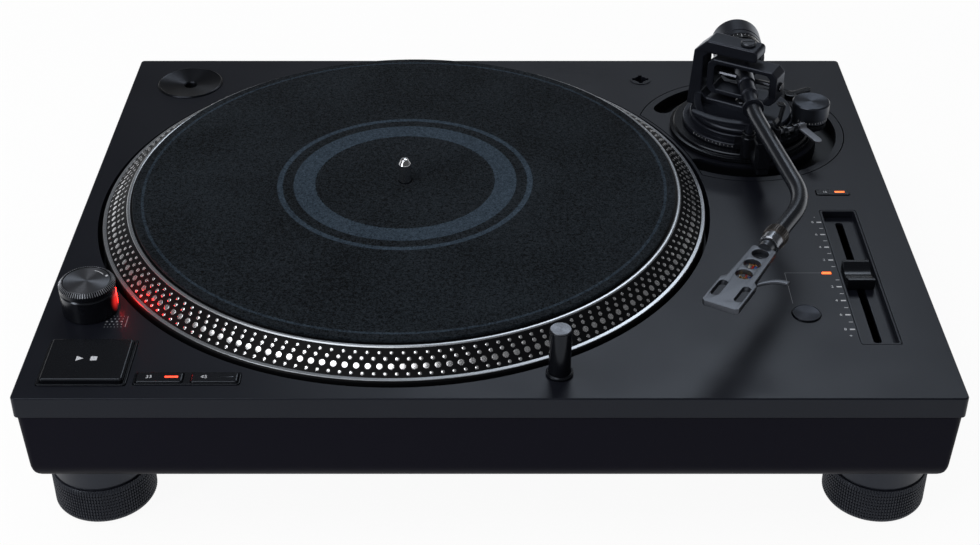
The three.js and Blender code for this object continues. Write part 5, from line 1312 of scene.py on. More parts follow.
def makeArmPlate():
    a = armBase
    outlines = [circle(a["radius"], 192), circle(a["bore"], 128)]
    plate = meshObject("armPlate", extrude(outlines, -a["thick"], 0), mast)
    line = bandLine(*a["channel"], math.radians(a["from"]), math.radians(a["to"]), 120, True)
    channel = meshObject("channel", extrude([line], -a["deep"], 2), mast)
    carve(plate, channel, wellBlock(deck["wellWall"] + a["wellGap"]))
    f = Finish("armPlatePaintAndPaintedShade", specular=0.2, shine=coolShine)
    rise = f.node("SeparateXYZ", {}, {0: f.coords((0, 0, deckTop))}, output=2)
    fine = f.noise(0.35, 3)
    plainPlatePaint = f.blend(fine, *paint["deck"][:2])
    # painted shade: below the deck's top the plate fades to near-black, standing in for the shade in the deep
    # channel and the bore
    dark = f.blend(fine, tint(5, 5, 7), tint(9, 10, 13))
    outsidePaintedShade = f.span(rise, *(height * mm for height in a["shade"]))
    f.set(colour=f.blend(outsidePaintedShade, dark, plainPlatePaint), roughness=f.span(fine, 0.3, 0.7, 0.36, 0.46))
    f.bump(fine, 0.01)
    dress(tidy(eased(plate, a["edge"], 3, 60), 30), f.material, "arm_base_plate")


def makeHeightRing():
    h = heightRing
    radius, topRadius, low, band, top = h["radius"], h["topRadius"], h["low"], h["band"], h["top"]
    profile = [(h["sleeve"], low), (radius - 0.5, low, 0.3), (radius, low + 0.5, 0.2), (radius, band, 0.2)]
    profile += [(topRadius, band + 0.5, 0.2), (topRadius, top - 0.6, 0.3), (topRadius - 0.6, top, 0.3)]
    profile += [(h["sleeve"], top)]
    rib = {"low": low + 0.6, "high": band - 0.1, "from": radius - 0.2, "depth": 0.5}
    turnedPiece("heightRing", "arm_height_ring", profile, blackPlastic, mast, h["ribs"] * 4, rib)


def makeTurret():
    t = turret
    step, stepTop, drum, top = t["step"], t["stepTop"], t["drum"], t["drumTop"]
    profile = [
        (0, -t["deep"]), (t["sleeve"], -t["deep"], 0.4), (t["sleeve"], t["low"]), (step, t["low"], 0.3),
    ]
    profile += [(step, stepTop - 0.5, 0.4), (step - 0.5, stepTop, 0.3), (drum, stepTop, 0.1)]
    profile += [(drum, top - 0.5, 0.4), (drum - 0.5, top, 0.3), (0, top)]
    turnedPiece("turretDrum", "arm_turret", profile, blackMetal, mast, 160)
    ticks = []
    for i in range(t["ticks"]):
        turn = math.radians(t["firstTick"] + i * t["tickTurn"])
        long = 1.6 if i % 4 == 0 else 0.9
        place = turnBy(turn) @ shiftBy(step, 0, (t["low"] + stepTop) / 2) @ aside
        ticks.append(moved(slab(long, 0.3, 0.1, -0.1, 0.04, steps=2), place))
    trim("heightTicks", merged(*ticks), ink, "arm_turret", mast)


# yoke, screw and gimbal
yoke = {
    "low": 12.3, "flange": 29.2, "flangeTop": 15.0, "floor": 19.0, "ceiling": 48.4, "top": 56.0,
    "reach": 31.0, "flare": 2.4, "inner": 24.6, "half": 6.8, "end": 8.6, "chamfer": 8.0,
    "innerChamfer": 3.5, "nose": 2.6, "soft": 2.0, "skirtIn": 24.9, "skirtRise": 6.6, "skirtHalf": 72.0,
    "skirtSteps": 48, "screwHole": 2.9,
}
ringFrame = {
    "half": 22.0, "rise": 11.0, "post": 4.6, "beam": 3.0, "depth": 6.4, "chamfer": 3.4, "innerChamfer": 2.2,
    "soft": 1.0, "pivot": 1.9, "seat": 2.6,
}
screw = {"point": 1.0, "shank": 2.5, "head": 4.4, "slot": (7.2, 0.9, 0.2), "slotDeep": 0.7, "turn": 0.5}


def makeYokeArch():
    y = yoke
    low, end, floorZ, ceiling, top = y["low"], y["end"], y["floor"], y["ceiling"], y["top"]
    inner, outer, bevel, cut, nose = -y["inner"], -y["reach"], y["innerChamfer"], y["chamfer"], y["nose"]
    line = [(outer - y["flare"], low, 0.4), (end, low, 0.4), (end, floorZ, 1.2), (inner + bevel, floorZ, 1)]
    line += [(inner, floorZ + bevel, 1), (inner, ceiling - bevel, 1), (inner + bevel, ceiling, 1)]
    line += [
        (end, ceiling, nose), (end, top, nose), (outer + cut, top, y["soft"]),
        (outer, top - cut, y["soft"]),
    ]
    shape = extrude([soften(line, True, 5)], -y["half"], y["half"], 0.9, 3)
    arch = meshObject("yokeArch", moved(shape, upright), gimbal)
    hole = meshObject("hole", disc(y["screwHole"], 48, ceiling - 3, top + 2), gimbal)
    dress(tidy(carve(arch, hole), 34), blackMetal, "arm_yoke")


def makeYokeFoot():
    y = yoke
    low, rim, top, inner = y["low"], y["flange"], y["flangeTop"], y["skirtIn"]
    foot = [
        (0, low), (rim - 0.4, low, 0.3), (rim, low + 0.5, 0.3), (rim, top - 0.8, 0.5),
        (rim - 0.8, top, 0.5),
    ]
    turnedPiece("yokeFoot", None, foot + [(0, top)], blackMetal, gimbal, 160, like="arm_yoke")
    half, steps = math.radians(y["skirtHalf"]), y["skirtSteps"]
    verts, faces = [], []
    for k in range(steps + 1):
        share = 2 * k / steps - 1
        angle = math.pi + half * share
        crest = top - 0.2 + y["skirtRise"] * (0.5 + 0.5 * math.cos(math.pi * share))
        outline = [(inner, low + 0.3), (rim, low + 0.3), (rim, crest - 0.7), (rim - 0.25, crest - 0.2)]
        outline += [(rim - 0.8, crest), (inner, crest)]
        verts += [(r * math.cos(angle), r * math.sin(angle), z) for r, z in outline]
    corners = len(outline)
    for row in range(0, steps * corners, corners):
        for i in range(corners):
            j = (i + 1) % corners
            faces.append((row + i, row + j, row + corners + j, row + corners + i))
    faces += [tuple(range(corners)), tuple(steps * corners + i for i in reversed(range(corners)))]
    trim("yokeSkirt", (verts, faces), blackMetal, "arm_yoke", gimbal, 40)


def makePivots():
    y, s = yoke, screw
    base, tip = y["floor"] - 0.6, tubeRise - ringFrame["rise"] - 0.3
    point = [(0, base), (4.4, base), (4.4, base + 1.0, 0.2), (1.0, tip, 0.1), (0, tip)]
    turnedPiece("lowerPivot", None, point, darkSteel, gimbal, 40, like="arm_yoke")
    low, high = (height.z - deckTop for height in boxOf("pivot_screw"))
    head, shank = s["head"], s["shank"]
    profile = [(0, low), (s["point"], low, 0.2), (shank, low + 1.5, 0.2), (shank, y["top"] + 0.3)]
    profile += [(head, y["top"] + 0.3, 0.2), (head, high - 0.5, 0.4), (head - 0.5, high, 0.2), (0, high)]
    body = meshObject("pivotScrew", spin(profile, 64), gimbal)
    slot = meshObject("slot", slab(*s["slot"], high - s["slotDeep"], high + 2), gimbal @ turnBy(s["turn"]))
    dress(tidy(carve(body, slot), 30, True), greyMetal, "pivot_screw")


def makeGimbal():
    r = ringFrame
    at = gimbal @ shiftBy(0, 0, tubeRise)
    half, rise, soft = r["half"], r["rise"], r["soft"]
    outside = roundBox(2 * half, 2 * rise, r["chamfer"], 0, 0, 1)
    inside = roundBox(2 * (half - r["post"]), 2 * (rise - r["beam"]), r["innerChamfer"], 0, 0, 1)
    outer = soften([(x, z, soft) for x, z in outside])
    inner = soften([(x, z, soft / 2) for x, z in inside])
    shape = extrude([outer, inner], -r["depth"], r["depth"], 0.7, 3)
    ring = meshObject("gimbalFrame", moved(shape, upright), at)
    bore = spin([(0, -30), (r["pivot"], -30), (r["pivot"], 30), (0, 30)], 32)
    dress(tidy(carve(ring, meshObject("bore", moved(bore, aside), at)), 34), blackMetal, "gimbal_ring")
    seat = [(0, -half - 1.1), (r["seat"], -half - 1.1, 0.3), (r["seat"], -half + 0.2), (0, -half + 0.2)]
    turnedPiece("sidePivot", None, seat, darkSteel, at, 40, along=True, like="gimbal_ring")


# arm hub, tube, collar and headshell
arm = {
    "hubEnd": 38.6, "straight": 38.2, "firstRadius": 90.0, "firstTurn": 9.0, "middle": 69.0,
    "secondRadius": 49.0, "secondTurn": -38.5, "tail": 29.5, "tube": 4.4, "sides": 40, "plateFrom": 9.0,
    "endEdge": 0.4, "socket": (3.3, 20.0, 3.0),
}
hub = {
    "middle": 5.2, "middleHalf": 8.0, "sleeve": 4.4, "sleeveEnd": 5.0, "sleeveLong": 13.0, "neck": 3.8,
    "flange": 6.2, "flangeLong": 1.6, "rearBody": 4.7, "rearLong": 12.0, "stub": 3.6, "rearEnd": 58.0,
}
collarSize = {
    "radius": 6.2, "front": 5.4, "back": 17.5, "nose": 4.6, "ring": 6.0, "lip": 1.6, "plug": 3.0,
    "plugLong": 15.0, "plugCollar": 3.9, "plugCollarLong": 4.2,
}
shell = {
    "long": 57.0, "rear": 12.6, "neck": 15.0, "front": 19.0, "neckEnd": 31.0, "shoulder": 34.0, "thick": 3.0,
    "chamfer": 1.6, "hole": 4.1, "holeFirst": 6.2, "holePitch": 10.3, "slot": (14.0, 4.0), "slotAt": 43.2,
    "slotApart": 12.0, "boss": 4.6, "bossBlock": (5.5, 8.8, 0.6), "bossAt": 2.45,
}
finger = {"reach": 13.0, "back": 8.6, "bow": -2.6, "width": 3.0, "thick": 1.4, "at": 29.4, "steps": 24}
wires = {
    "from": 11.5, "long": 13.0, "apart": 1.7, "clip": 4.2, "radius": 0.5, "fall": 1.2, "pin": (0.45, 3.4),
    "colours": {
        "wireWhite": tint(210, 210, 205), "wireRed": tint(190, 30, 28), "wireBlue": tint(40, 74, 160),
        "wireGreen": tint(40, 130, 62),
    },
}
shades = (tint(96, 99, 106), tint(140, 144, 152), 0.22)
noseMetal = grained("noseMetal", *shades, 0.3, 0.003, metallic=0.9, specular=0.5)
goldPin = grained("goldPin", tint(190, 150, 84), tint(228, 190, 122), 0.25, 0.3, 0.003, metallic=0.9)


def armStretches():
    a = arm
    first, second = math.radians(a["firstTurn"]), math.radians(a["secondTurn"])
    bends = ((a["firstRadius"] * abs(first), first), (a["secondRadius"] * abs(second), second))
    return [(a["straight"], 0.0), bends[0], (a["middle"], 0.0), bends[1], (a["tail"], 0.0)]


def alongArm(distance):
    x = y = heading = 0.0
    left = distance
    for length, turn in armStretches():
        used = min(left, length)
        part = turn * used / length
        if turn == 0:
            x, y = x + used * math.cos(heading), y + used * math.sin(heading)
        else:
            bendRadius = length / turn
            x += bendRadius * (math.sin(heading + part) - math.sin(heading))
            y -= bendRadius * (math.cos(heading + part) - math.cos(heading))
        heading += part
        left -= used
        if left <= 0:
            break
    return Vector((x, y, 0)), heading


def makeHub():
    h = hub
    half, neck, flange = h["middleHalf"], h["neck"], h["flange"]
    sleeveStart = half + 0.6
    sleeveEnd = sleeveStart + h["sleeveLong"]
    flangeEnd = arm["hubEnd"] - 0.3
    flangeStart = flangeEnd - h["flangeLong"]
    rearBody, rearEnd = -half - h["rearLong"], -h["rearEnd"]
    profile = [
        (0, rearEnd), (h["stub"], rearEnd, 0.6), (h["stub"], rearBody - 0.6),
        (h["rearBody"], rearBody, 0.2),
    ]
    profile += [(h["rearBody"], -half), (h["middle"], 0.6 - half, 0.2), (h["middle"], half, 0.2)]
    profile += [
        (h["sleeve"], sleeveStart, 0.2), (h["sleeveEnd"], sleeveEnd, 0.2), (neck, sleeveEnd + 0.6, 0.2),
    ]
    profile += [(neck, flangeStart), (flange, flangeStart, 0.2), (flange, flangeEnd, 0.2), (0, flangeEnd)]
    turnedPiece("armHub", "arm_hub", profile, blackMetal, armLine, 64, along=True)


def makeTube():
    a = arm
    edge, sides = a["endEdge"], a["sides"]
    stations, start = [], 0.0
    for length, turn in armStretches():
        count = 1 if turn == 0 else max(6, int(abs(turn) / math.radians(1.5)))
        stations += [start + length * k / count for k in range(count)]
        start += length
    stations = [a["hubEnd"], a["hubEnd"] + edge] + [s for s in stations if s > a["hubEnd"] + edge]
    path = [alongArm(s)[0] for s in stations + [start - edge, start]]
    verts, faces = sweep(path, a["tube"], sides)
    for row in (0, len(path) - 1):  # both ends have a small chamfer
        for i in range(row * sides, (row + 1) * sides):
            verts[i] = tuple(path[row] + (Vector(verts[i]) - path[row]) * (1 - edge / a["tube"]))
    f = Finish("armPaint", metallic=0.25, specular=0.5, coat=0.2, coatRoughness=0.15, shine=coolShine)
    fine = f.noise(0.35, 2)
    f.set(
        colour=f.blend(fine, tint(13, 15, 19), tint(23, 25, 31)),
        roughness=f.span(fine, 0.3, 0.7, 0.24, 0.34),
    )
    f.bump(fine, 0.003)
    bore, back, front = a["socket"]
    shape = moved(spin([(0, -back), (bore, -back), (bore, front), (0, front)], 48), aside)
    socket = meshObject("socket", shape, headLine @ shiftBy(a["tube"]))
    tube = carve(meshObject("armTube", (verts, faces), armLine), socket)
    dress(tidy(tube, 30, True), f.material, "arm_tube")


def makeCollar():
    c = collarSize
    radius, rim, inside, plug = c["radius"], c["front"], arm["tube"] + 0.3, c["plug"] + 0.3
    front, back = arm["plateFrom"] - c["nose"], arm["plateFrom"] - c["back"]
    end = back + c["ring"]
    profile = [
        (inside, back), (radius - 0.4, back), (radius, back + 0.4), (radius, end - 0.4),
        (radius - 0.4, end),
    ]
    profile += [(rim - 0.3, end + 0.5), (inside, end + 0.5)]
    rib = {"low": back + 0.3, "high": end - 0.3, "from": radius - 0.2, "depth": 0.55}
    shades = (tint(52, 50, 50), tint(84, 80, 78), 0.3)
    knurl = grained("knurlMetal", *shades, 0.3, 0.004, metallic=0.8, specular=0.5)
    turnedPiece(
        "lockingRing", "locking_collar", profile, knurl, headLine, 128, rib, along=True, sharpAngle=20
    )
    profile = [(inside, end + 0.6), (rim, end + 0.6, 0.2), (rim, front - 0.6, 0.3), (rim - 0.6, front, 0.3)]
    profile += [(plug, front, 0.2), (plug, front - c["lip"]), (inside, front - c["lip"])]
    turnedPiece("collarNose", None, profile, noseMetal, headLine, 96, along=True, like="locking_collar")


headPlace = headLine @ shiftBy(arm["plateFrom"])


def makeHead():
    s, c = shell, collarSize
    half, edge, rear, neck = s["thick"] / 2, s["chamfer"], -s["rear"] / 2, -s["neck"] / 2
    front, long = -s["front"] / 2, s["long"]
    outline = [
        (0, rear, 1.2), (s["neckEnd"], neck, 1.5), (s["shoulder"], front, 1.5), (long - edge, front, 0.6),
    ]
    outline += [(long, edge + front, 0.6)]
    outline += [(x, -y, r) for x, y, r in reversed(outline)]
    holes = [circle(s["hole"], 48, s["holeFirst"] + i * s["holePitch"]) for i in range(3)]
    holes += [slotLine(*s["slot"], s["slotAt"], side * s["slotApart"] / 2) for side in (-1, 1)]
    lines = [soften(outline), *holes]
    platePiece("shellPlate", "headshell", lines, -half, half, greyMetal, headPlace, edge=0.35)
    boss = slab(*s["bossBlock"], -s["boss"], -half + 0.1, s["bossAt"], 0, edge=0.3)
    plug = [(0, -c["plugLong"]), (c["plug"], -c["plugLong"], 0.3), (c["plug"], -c["plugCollarLong"])]
    plug += [(c["plugCollar"], -c["plugCollarLong"], 0.3), (c["plugCollar"], 0.3), (0, 0.3)]
    shape = merged(boss, moved(spin(plug, 48), aside))
    trim("shellPlug", shape, greyMetal, "headshell", headPlace)


def makeFinger():
    f, half = finger, shell["thick"] / 2
    left, right = [], []
    for i in range(f["steps"] + 1):
        share = i / f["steps"]
        forward = f["at"] - f["back"] * share + f["bow"] * math.sin(math.pi * share)
        sideways = shell["neck"] / 2 + 0.3 + f["reach"] * share
        left.append((forward - f["width"] / 2, sideways))
        right.insert(0, (forward + f["width"] / 2, sideways))
    lines, top = [left + right], f["thick"] - half
    platePiece("fingerHook", "finger_lift", lines, -half, top, greyMetal, headPlace, edge=0.35)


def makeWires():
    w, half = wires, shell["thick"] / 2
    pinRadius, pinLong = w["pin"]
    clip = [(0, 0), (0.65, 0, 0.1), (0.65, w["clip"], 0.1), (0, w["clip"])]
    pin = [(0, 0), (pinRadius, 0), (pinRadius, pinLong, 0.2), (0, pinLong)]
    clip, pin = moved(spin(clip, 16), aside), moved(spin(pin, 12), aside)
    ends = [(0.4, pin), (w["from"] - w["clip"] + 0.6, clip), (w["from"] + w["long"] - 0.6, clip)]
    for i, (name, colour) in enumerate(w["colours"].items()):
        side = (i - 1.5) * w["apart"]
        path = []
        for k in range(33):
            t = k / 32
            sag = math.sin(math.pi * t)
            down = half + w["fall"] + 1.3 * sag + 0.35 * math.sin(9 * t + 2 * i) * sag
            sideways = side * (1 + 0.35 * sag) + 0.8 * sag * math.sin(7 * t + 1.7 * i)
            path.append((w["from"] + w["long"] * t, sideways, -down))
        f = Finish(name, roughness=0.4, specular=0.4)
        f.set(colour=f.blend(f.noise(0.4, 2), tuple(c * 0.8 for c in colour), colour))
        trim(name, sweep(path, w["radius"], 10), f.material, "headshell", headPlace)
        metal = merged(*(moved(shape, shiftBy(x, side, -half - w["fall"])) for x, shape in ends))
        trim(name + "Clip", metal, goldPin, "headshell", headPlace)


# counterweight and dial
weight = {
    "front": 31.0, "long": 19.5, "radius": 15.0, "boss": 9.0, "bossLong": 5.0, "recess": 3.0,
    "recessRadius": 11.0, "sleeve": 7.0, "groove": (3.9, 5.2), "dial": 14.8, "dialLong": 5.9,
    "dialStep": 12.4, "dialCone": 1.2, "ticks": 40, "digits": 2.0, "digitsAt": 3.7,
}


def makeWeight():
    w = weight
    front, rear, radius, inside = -w["front"], -w["front"] - w["long"], w["radius"], w["sleeve"] + 0.3
    grooveEnd, grooveStart = (front - reach for reach in w["groove"])
    recess, bossEnd = w["recessRadius"], w["bossLong"] + front
    profile = [(inside, w["recess"] + rear), (recess, w["recess"] + rear, 0.5), (recess, rear, 0.4)]
    profile += [(radius - 0.7, rear, 0.5), (radius, 0.7 + rear, 0.4), (radius, grooveStart, 0.3)]
    profile += [(radius - 0.6, grooveStart + 0.3, 0.2), (radius - 0.6, grooveEnd - 0.3, 0.2)]
    profile += [(radius, grooveEnd, 0.3), (radius, front, 0.4), (w["boss"], front), (w["boss"], bossEnd, 0.3)]
    profile += [(inside, bossEnd)]
    turnedPiece("weightBody", "counterweight", profile, blackMetal, armLine, 128, along=True)


def makeDial():
    w = weight
    low, inside, radius = 0.3 - w["front"], w["boss"] + 0.3, w["dial"]
    high = low + w["dialLong"]
    profile = [
        (inside, low), (radius, low, 0.2), (radius, high - w["dialCone"], 0.3), (w["dialStep"], high, 0.3),
    ]
    profile += [(inside, high)]
    turnedPiece("weightDial", "weight_dial", profile, blackPlastic, armLine, 128, along=True)
    ticks = []
    for i in range(w["ticks"]):
        long = 2.2 if i % 10 == 0 else (1.6 if i % 5 == 0 else 1.0)
        place = turnBy(2 * math.pi * i / w["ticks"], "X") @ shiftBy(low + 0.9 + long / 2, 0, radius)
        ticks.append(moved(slab(long, 0.28, 0.1, -0.1, printed, steps=2), place))
    trim("dialTicks", merged(*ticks), ink, "weight_dial", armLine)
    for i in range(4):
        spot = armLine @ turnBy(math.pi / 2 * i, "X") @ shiftBy(low + w["digitsAt"], 0, radius + 0.01)
        label(f"dialNumber{i}", str(i), w["digits"], ink, "weight_dial", spot @ turnBy(-math.pi / 2))


# bracket, anti-skate, cue lever and lift
bracket = {
    "low": 8.8, "high": 12.0, "inner": 31.3, "outer": 41.0, "from": -104.0, "to": 42.0, "pad": 10.0,
    "beam": 7.0, "beamFrom": 34.2, "beamPast": 3.5, "restReach": 66.0,
    "wing": ((22, -30), (46, -17), (49, -7), (44, 2), (34, 12), (26, 14), (20, -10)),
}
skate = {
    "x": 39.0, "y": -9.0, "radius": 11.0, "top": 24.0, "skirt": 3.0, "skirtRadius": 10.2, "stem": 3.0,
    "stemLong": 3.4, "ticks": 29, "firstTick": -140, "tickTurn": 10,
}
lift = {
    "x": -2.3, "y": -43.5, "barrel": 4.2, "low": 6.4, "high": 22.0, "post": 2.3, "postLow": 9.0,
    "barTop": 28.3, "barThick": 2.0, "bar": (41.5, 45.5), "from": -138.0, "to": -78.0,
}
cue = {
    "turn": 24.0, "shaft": 1.5, "shaftLong": 14.0, "blade": (20.0, 5.0, 1.4), "hub": 2.6, "earThick": 2.4,
    "ears": (4.4, 11.4), "earHalf": 3.0,
}
lock = {"hub": 3.8, "high": 2.2, "arm": (15.0, 3.6), "pin": 1.6, "turn": 30.0}
cuePoint, lockPoint = jointAt("cue_turn"), jointAt("height_lock_turn")
cuePlace = standing(*cuePoint, math.radians(cue["turn"]))
skatePlace = mast @ shiftBy(skate["x"], skate["y"])
liftPlace = mast @ shiftBy(lift["x"], lift["y"])


# what is joined to the bracket's curved strip; each is a little thinner, so that no faces meet
def bracketAdds():
    b, low, high = bracket, bracket["low"], bracket["high"]
    pad = meshObject("pad", disc(b["pad"], 72, low + 0.01, high - 0.01, skate["x"], skate["y"]), mast)
    corners = soften([(x, y, 2.0) for x, y in b["wing"]])
    wing = meshObject("wing", extrude([corners], low + 0.02, high - 0.02), mast)
    spot = armLine @ alongArm(b["restReach"])[0]
    across, along = spot.x - pivot.x, spot.y - pivot.y
    reach = math.hypot(across, along) + b["beamPast"]
    long = reach - b["beamFrom"]
    strip = slab(long, b["beam"], 1.2, low + 0.03, high - 0.03, reach - long / 2, 0)
    beam = meshObject("beam", strip, mast @ turnBy(math.atan2(along, across)))
    radius, foot, top = lift["barrel"], lift["low"], lift["high"]
    profile = [(0, foot), (radius, foot, 0.4), (radius, top - 3, 0.2), (radius - 0.5, top - 2.6, 0.2)]
    barrel = meshObject("barrel", spin(profile + [(radius - 0.5, top, 0.4), (0, top)], 48), liftPlace)
    pinShape = disc(lock["pin"], 32, high - 0.3, high + 0.3 + lock["high"])
    adds = [pad, wing, beam, barrel, meshObject("pin", pinShape, onDeck(lockPoint.x, lockPoint.y))]
    crest, half = cue["hub"], cue["earHalf"]
    foot = crest - (crest + cuePoint.z - deckTop - high + 0.3)
    outline = soften([(-half, foot), (half, foot), (half, crest, 2.6), (-half, crest, 2.6)])
    ear, turn = extrude([outline], -cue["earThick"] / 2, cue["earThick"] / 2), turnBy(math.pi / 2) @ upright
    return adds + [meshObject("ear", ear, cuePlace @ shiftBy(-distance) @ turn) for distance in cue["ears"]]


def makeBracket():
    b, low, high = bracket, bracket["low"], bracket["high"]
    strip = bandLine(b["inner"] - 0.6, b["outer"], math.radians(b["from"]), math.radians(b["to"]), 96)
    base = meshObject("armBracket", extrude([strip], low, high), mast)
    carve(base, *bracketAdds(), operation="UNION")
    shaft = cue["shaft"] + 0.3
    shaftBore = moved(spin([(0, -16), (shaft, -16), (shaft, 0), (0, 0)], 32), aside)
    cutters = [meshObject("bore", disc(lift["post"] + 0.4, 40, 0, 30, lift["x"], lift["y"]), mast)]
    cutters.append(meshObject("bore", shaftBore, cuePlace))
    cutters.append(meshObject("bore", disc(skate["stem"] + 0.3, 40, 0, 20, skate["x"], skate["y"]), mast))
    cutters.append(meshObject("drum", disc(b["inner"], 128, low - 1, high + 1), mast))
    dress(tidy(carve(base, *cutters), 34), blackPlastic, "arm_bracket")


def makeSkate():
    s = skate
    low, top, radius, stem, skirt = bracket["high"] + 0.3, s["top"], s["radius"], s["stem"], s["skirtRadius"]
    step, foot = low + s["skirt"], low - s["stemLong"]
    profile = [(0, foot), (stem, foot, 0.3), (stem, low), (skirt, low, 0.3), (skirt, step - 0.2)]
    profile += [(radius, step, 0.3), (radius, top - 0.7, 0.3), (radius - 0.7, top, 0.3)]
    profile += [(radius - 1.2, top, 0.1), (0, top - 0.1)]
    shades, centre = (tint(34, 37, 44), tint(74, 79, 88), 0.34), skatePlace.translation
    metal = spun("skateMetal", *shades, centre, 0.3, metallic=0.9, depth=0.003)
    rib = {"low": step + 0.4, "high": top - 0.9, "from": radius - 0.25, "depth": 0.5}
    turnedPiece("skateKnob", "anti_skate_knob", profile, metal, skatePlace, 160, rib)
    ticks = []
    for i in range(s["ticks"]):
        turn = math.radians(s["firstTick"] + i * s["tickTurn"])
        place = turnBy(turn) @ shiftBy(skirt, 0, low + s["skirt"] / 2) @ aside
        ticks.append(moved(slab(1.5 if i % 4 == 0 else 0.9, 0.25, 0.08, -0.1, printed, steps=2), place))
    trim("skateTicks", merged(*ticks), ink, "anti_skate_knob", skatePlace)


def makeCue():
    long, wide, thick = cue["blade"]
    shaft, hub, end = cue["shaft"], cue["hub"], -cue["shaftLong"]
    blade = extrude([slotLine(long, wide, long / 2, 0)], -thick / 2, thick / 2, 0.4)
    pin = [(0, end), (shaft, end, 0.2), (shaft, -2.0), (hub, -2.0, 0.3), (hub, wide / 2, 0.4), (0, wide / 2)]
    shape = merged(moved(blade, turnBy(-math.pi / 2)), moved(spin(pin, 40), aside))
    dress(tidy(meshObject("cueBlade", shape, cuePlace), 34, True), cueMetal, "cue_lever")
    l = lift
    under = l["barTop"] - l["barThick"]
    post = disc(l["post"], 40, l["postLow"], under + l["barThick"] / 2, l["x"], l["y"], edge=0.2)
    line = bandLine(*l["bar"], math.radians(l["from"]), math.radians(l["to"]), 48, True)
    bar = extrude([line], under, l["barTop"], 0.5, 3)
    dress(tidy(meshObject("liftBar", merged(post, bar), mast), 34, True), blackMetal, "cue_lift")


def makeLock():
    at = onDeck(lockPoint.x, lockPoint.y, bracket["high"])
    lifted = at @ shiftBy(0, 0, 0.3)
    long, wide = lock["arm"]
    blade = extrude([slotLine(long, wide, long / 2, 0)], 0, lock["high"], 0.4)
    lever = meshObject("lockLever", blade, lifted @ turnBy(math.radians(lock["turn"])))
    hub = meshObject("hub", disc(lock["hub"], 48, 0.01, lock["high"] - 0.01, edge=0.4), lifted)
    carve(lever, hub, operation="UNION")
    carve(lever, meshObject("bore", disc(lock["pin"] + 0.3, 32, -2, 6), at))
    dress(tidy(lever, 34), blackPlastic, "height_lock_lever")


# arm rest and clip
rest = {
    "long": 7.0, "seat": 4.9, "wall": 3.2, "rise": 3.6, "left": 5.0, "post": 7.0, "cradle": 5.0,
    "clipThick": 1.4, "clipLong": 4.0, "clipPin": 0.8, "clipRise": 2.4, "clipLip": 4.4, "clipOpen": 100.0,
}


def makeRest():
    r = rest
    spot, heading = alongArm(bracket["restReach"])
    across = armTurn + heading + math.pi / 2
    at = standing(*(armLine @ spot).xy, pivot.z, across)
    seat, rise, half, left = r["seat"], r["rise"], r["post"] / 2, -r["left"]
    outer, bowl = seat + r["wall"], r["cradle"]
    low = bracket["high"] + 0.3 - tubeRise
    cradle = [(seat * math.cos(a), seat * math.sin(a)) for a in (-math.pi / 2 * k / 16 for k in range(17))]
    line = [(-half, low, 0.5), (half, low, 0.5), (half, -seat - 2 * bowl, 2), (outer, -seat - bowl / 2, 2.5)]
    line += [(outer, rise, 1.0), (seat, rise, 0.4)] + cradle
    line += [(left, -seat, 0.5), (left, -seat - bowl / 2, 1.2), (-half, -seat - bowl, 1.0)]
    deep = r["long"] / 2
    platePiece("restPost", "arm_rest", [soften(line)], -deep, deep, blackPlastic, at, edge=0.45, stand=True)
    lugX, pin, lugTop = seat + r["wall"] / 2, r["clipPin"], rise + 0.3 + r["clipRise"]
    lug = [
        (lugX - pin, rise - 0.3), (lugX + pin, rise - 0.3), (lugX + pin, lugTop, 0.6),
        (lugX - pin, lugTop, 0.6),
    ]
    shape = extrude([soften(lug)], -deep, -r["clipLong"] / 2 - 0.3, 0.2)
    trim("restLug", moved(shape, upright), blackPlastic, "arm_rest", at)
    reach, top, thick, lip = -lugX - seat, r["clipRise"] / 2, r["clipThick"], r["clipRise"] / 2 - r["clipLip"]
    line = [(pin, -top, 0.3), (pin, top, 0.5), (reach - thick, top, 0.8), (reach - thick, lip, 0.4)]
    line += [(reach, lip, 0.4), (reach, top - thick, 0.4), (-r["wall"], top - thick, 0.5), (-pin, -top, 0.3)]
    place = standing(*jointAt("rest_clip_turn"), across) @ turnBy(math.radians(r["clipOpen"]), "Y")
    half = r["clipLong"] / 2
    platePiece(
        "restClip", "arm_rest_clip", [soften(line)], -half, half, blackPlastic, place, edge=0.3, stand=True
    )


makeArmPlate()
makeHeightRing()
makeTurret()
makeYokeArch()
makeYokeFoot()
makePivots()
makeGimbal()
makeHub()
makeTube()
makeCollar()
makeHead()
makeFinger()
makeWires()
makeWeight()
makeDial()
makeBracket()
makeSkate()
makeCue()
makeLock()
makeRest()
print("stage 9: tone arm")

# rear sockets
rear = {
    "inletDeep": 18.0, "cavity": (14.0, 8.0, 12.0), "pin": (1.2, 9.0), "pinApart": 8.6, "bayWall": 1.5,
    "bayDeep": 13.0, "bayFloor": 2.0, "jack": (4.1, 8.0), "jackBore": 1.7, "jackApart": 18.0,
    "jackMiddle": -10.0, "earth": (2.0, 8.5), "earthAt": 21.0, "corner": 1.2,
}


def rearBlock(name, node, deep):  # a block set in from the rear face, and its place
    low, high = boxOf(node)
    size, centre = high - low, (low + high) / 2
    at = shiftBy(centre.x, high.y, centre.z) @ upright
    return meshObject(name, slab(size.x, size.z, rear["corner"], 0, deep, steps=5, edge=0.3), at), at


def makeInlet():
    r = rear
    block, at = rearBlock("inletBlock", "mains_inlet", r["inletDeep"])
    long, wide, deep = r["cavity"]
    carve(block, meshObject("cavity", extrude([slotLine(long, wide)], -2, deep), at))
    dress(tidy(block, 30), blackPlastic, "mains_inlet")
    radius, pinLong = r["pin"]
    pin = spin(
        [(0, deep + 0.3), (radius, deep + 0.3), (radius, deep - pinLong, 0.6), (0, deep - pinLong)], 24
    )
    pins = (moved(pin, shiftBy(side * r["pinApart"] / 2)) for side in (-1, 1))
    trim("inletPins", merged(*pins), brightMetal, "mains_inlet", at)


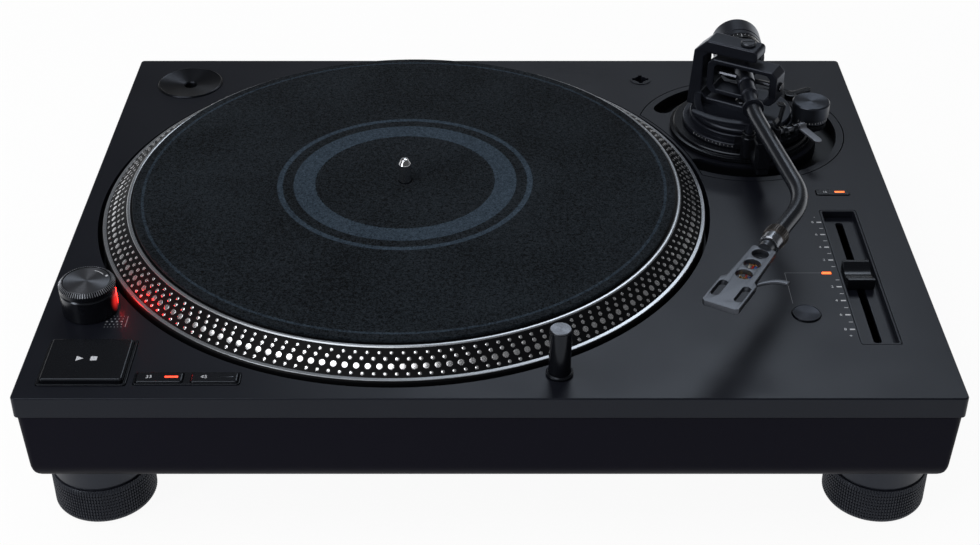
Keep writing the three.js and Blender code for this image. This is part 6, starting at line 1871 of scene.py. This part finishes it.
def makeTerminals():
    r = rear
    tray, at = rearBlock("terminalTray", "phono_terminals", r["bayDeep"])
    size = sizeOf("phono_terminals")
    base = r["bayDeep"] - r["bayFloor"]
    wide, high = size.x - 2 * r["bayWall"], size.z - 2 * r["bayWall"]
    carve(tray, meshObject("hollow", slab(wide, high, 0.8, -2, base, steps=4), at))
    dress(tidy(tray, 30), blackPlastic, "phono_terminals")
    (radius, long), bore, foot = r["jack"], r["jackBore"], base + 0.2
    end = base - long
    barrel = [(3.2, foot), (3.2, end + 0.1, 0.2), (radius, end, 0.3), (radius, foot)]
    insert = [(bore, foot), (bore, end + 1.4, 0.2), (3.15, end + 1.2, 0.2), (3.15, foot)]
    for side, name, colour in ((-1, "White", tint(206, 206, 202)), (1, "Red", tint(176, 28, 26))):
        place = at @ shiftBy(r["jackMiddle"] + side * r["jackApart"] / 2)
        f = Finish("jackInsert" + name, roughness=0.35, specular=0.4)
        f.set(colour=f.blend(f.noise(0.4, 2), tuple(c * 0.85 for c in colour), colour))
        trim(f"jackBarrel{side + 1}", spin(barrel, 64), brightMetal, "phono_terminals", place)
        trim(f"jackInsert{side + 1}", spin(insert, 48), f.material, "phono_terminals", place)
    radius, long = r["earth"]
    stud = spin([(0, base + 0.3), (radius, base + 0.3), (radius, base - long, 0.4), (0, base - long)], 32)
    trim("earthStud", stud, brightMetal, "phono_terminals", at @ shiftBy(r["earthAt"]))


def makeEarthNut():
    low, high = boxOf("earth_nut")
    centre, radius, long = (low + high) / 2, (high.x - low.x) / 2, high.y - low.y
    nut = [(2.3, 0), (radius - 0.5, 0, 0.2), (radius, 0.5, 0.2), (radius, long - 0.5, 0.2)]
    nut += [(radius - 0.5, long, 0.2), (2.3, long, 0.2)]
    rib = {"low": 0.6, "high": long - 0.6, "from": radius - 0.2, "depth": 0.35}
    at = shiftBy(centre.x, high.y, centre.z) @ upright
    turnedPiece("earthNut", "earth_nut", nut, brightMetal, at, 96, rib)


makeInlet()
makeTerminals()
makeEarthNut()
print("stage 10: rear sockets")

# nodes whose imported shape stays
kept = {"cabinet_plastic": cabinetSkin, "steel": darkSteel, "magnet": magnetStone, "motor_coils": copperWire}
for node, obj in frame["nodes"].items():
    if node not in dressed:
        for materialSlot in obj.material_slots:
            materialSlot.material = kept[slotOf[node]]
        print("kept from the frame:", node)
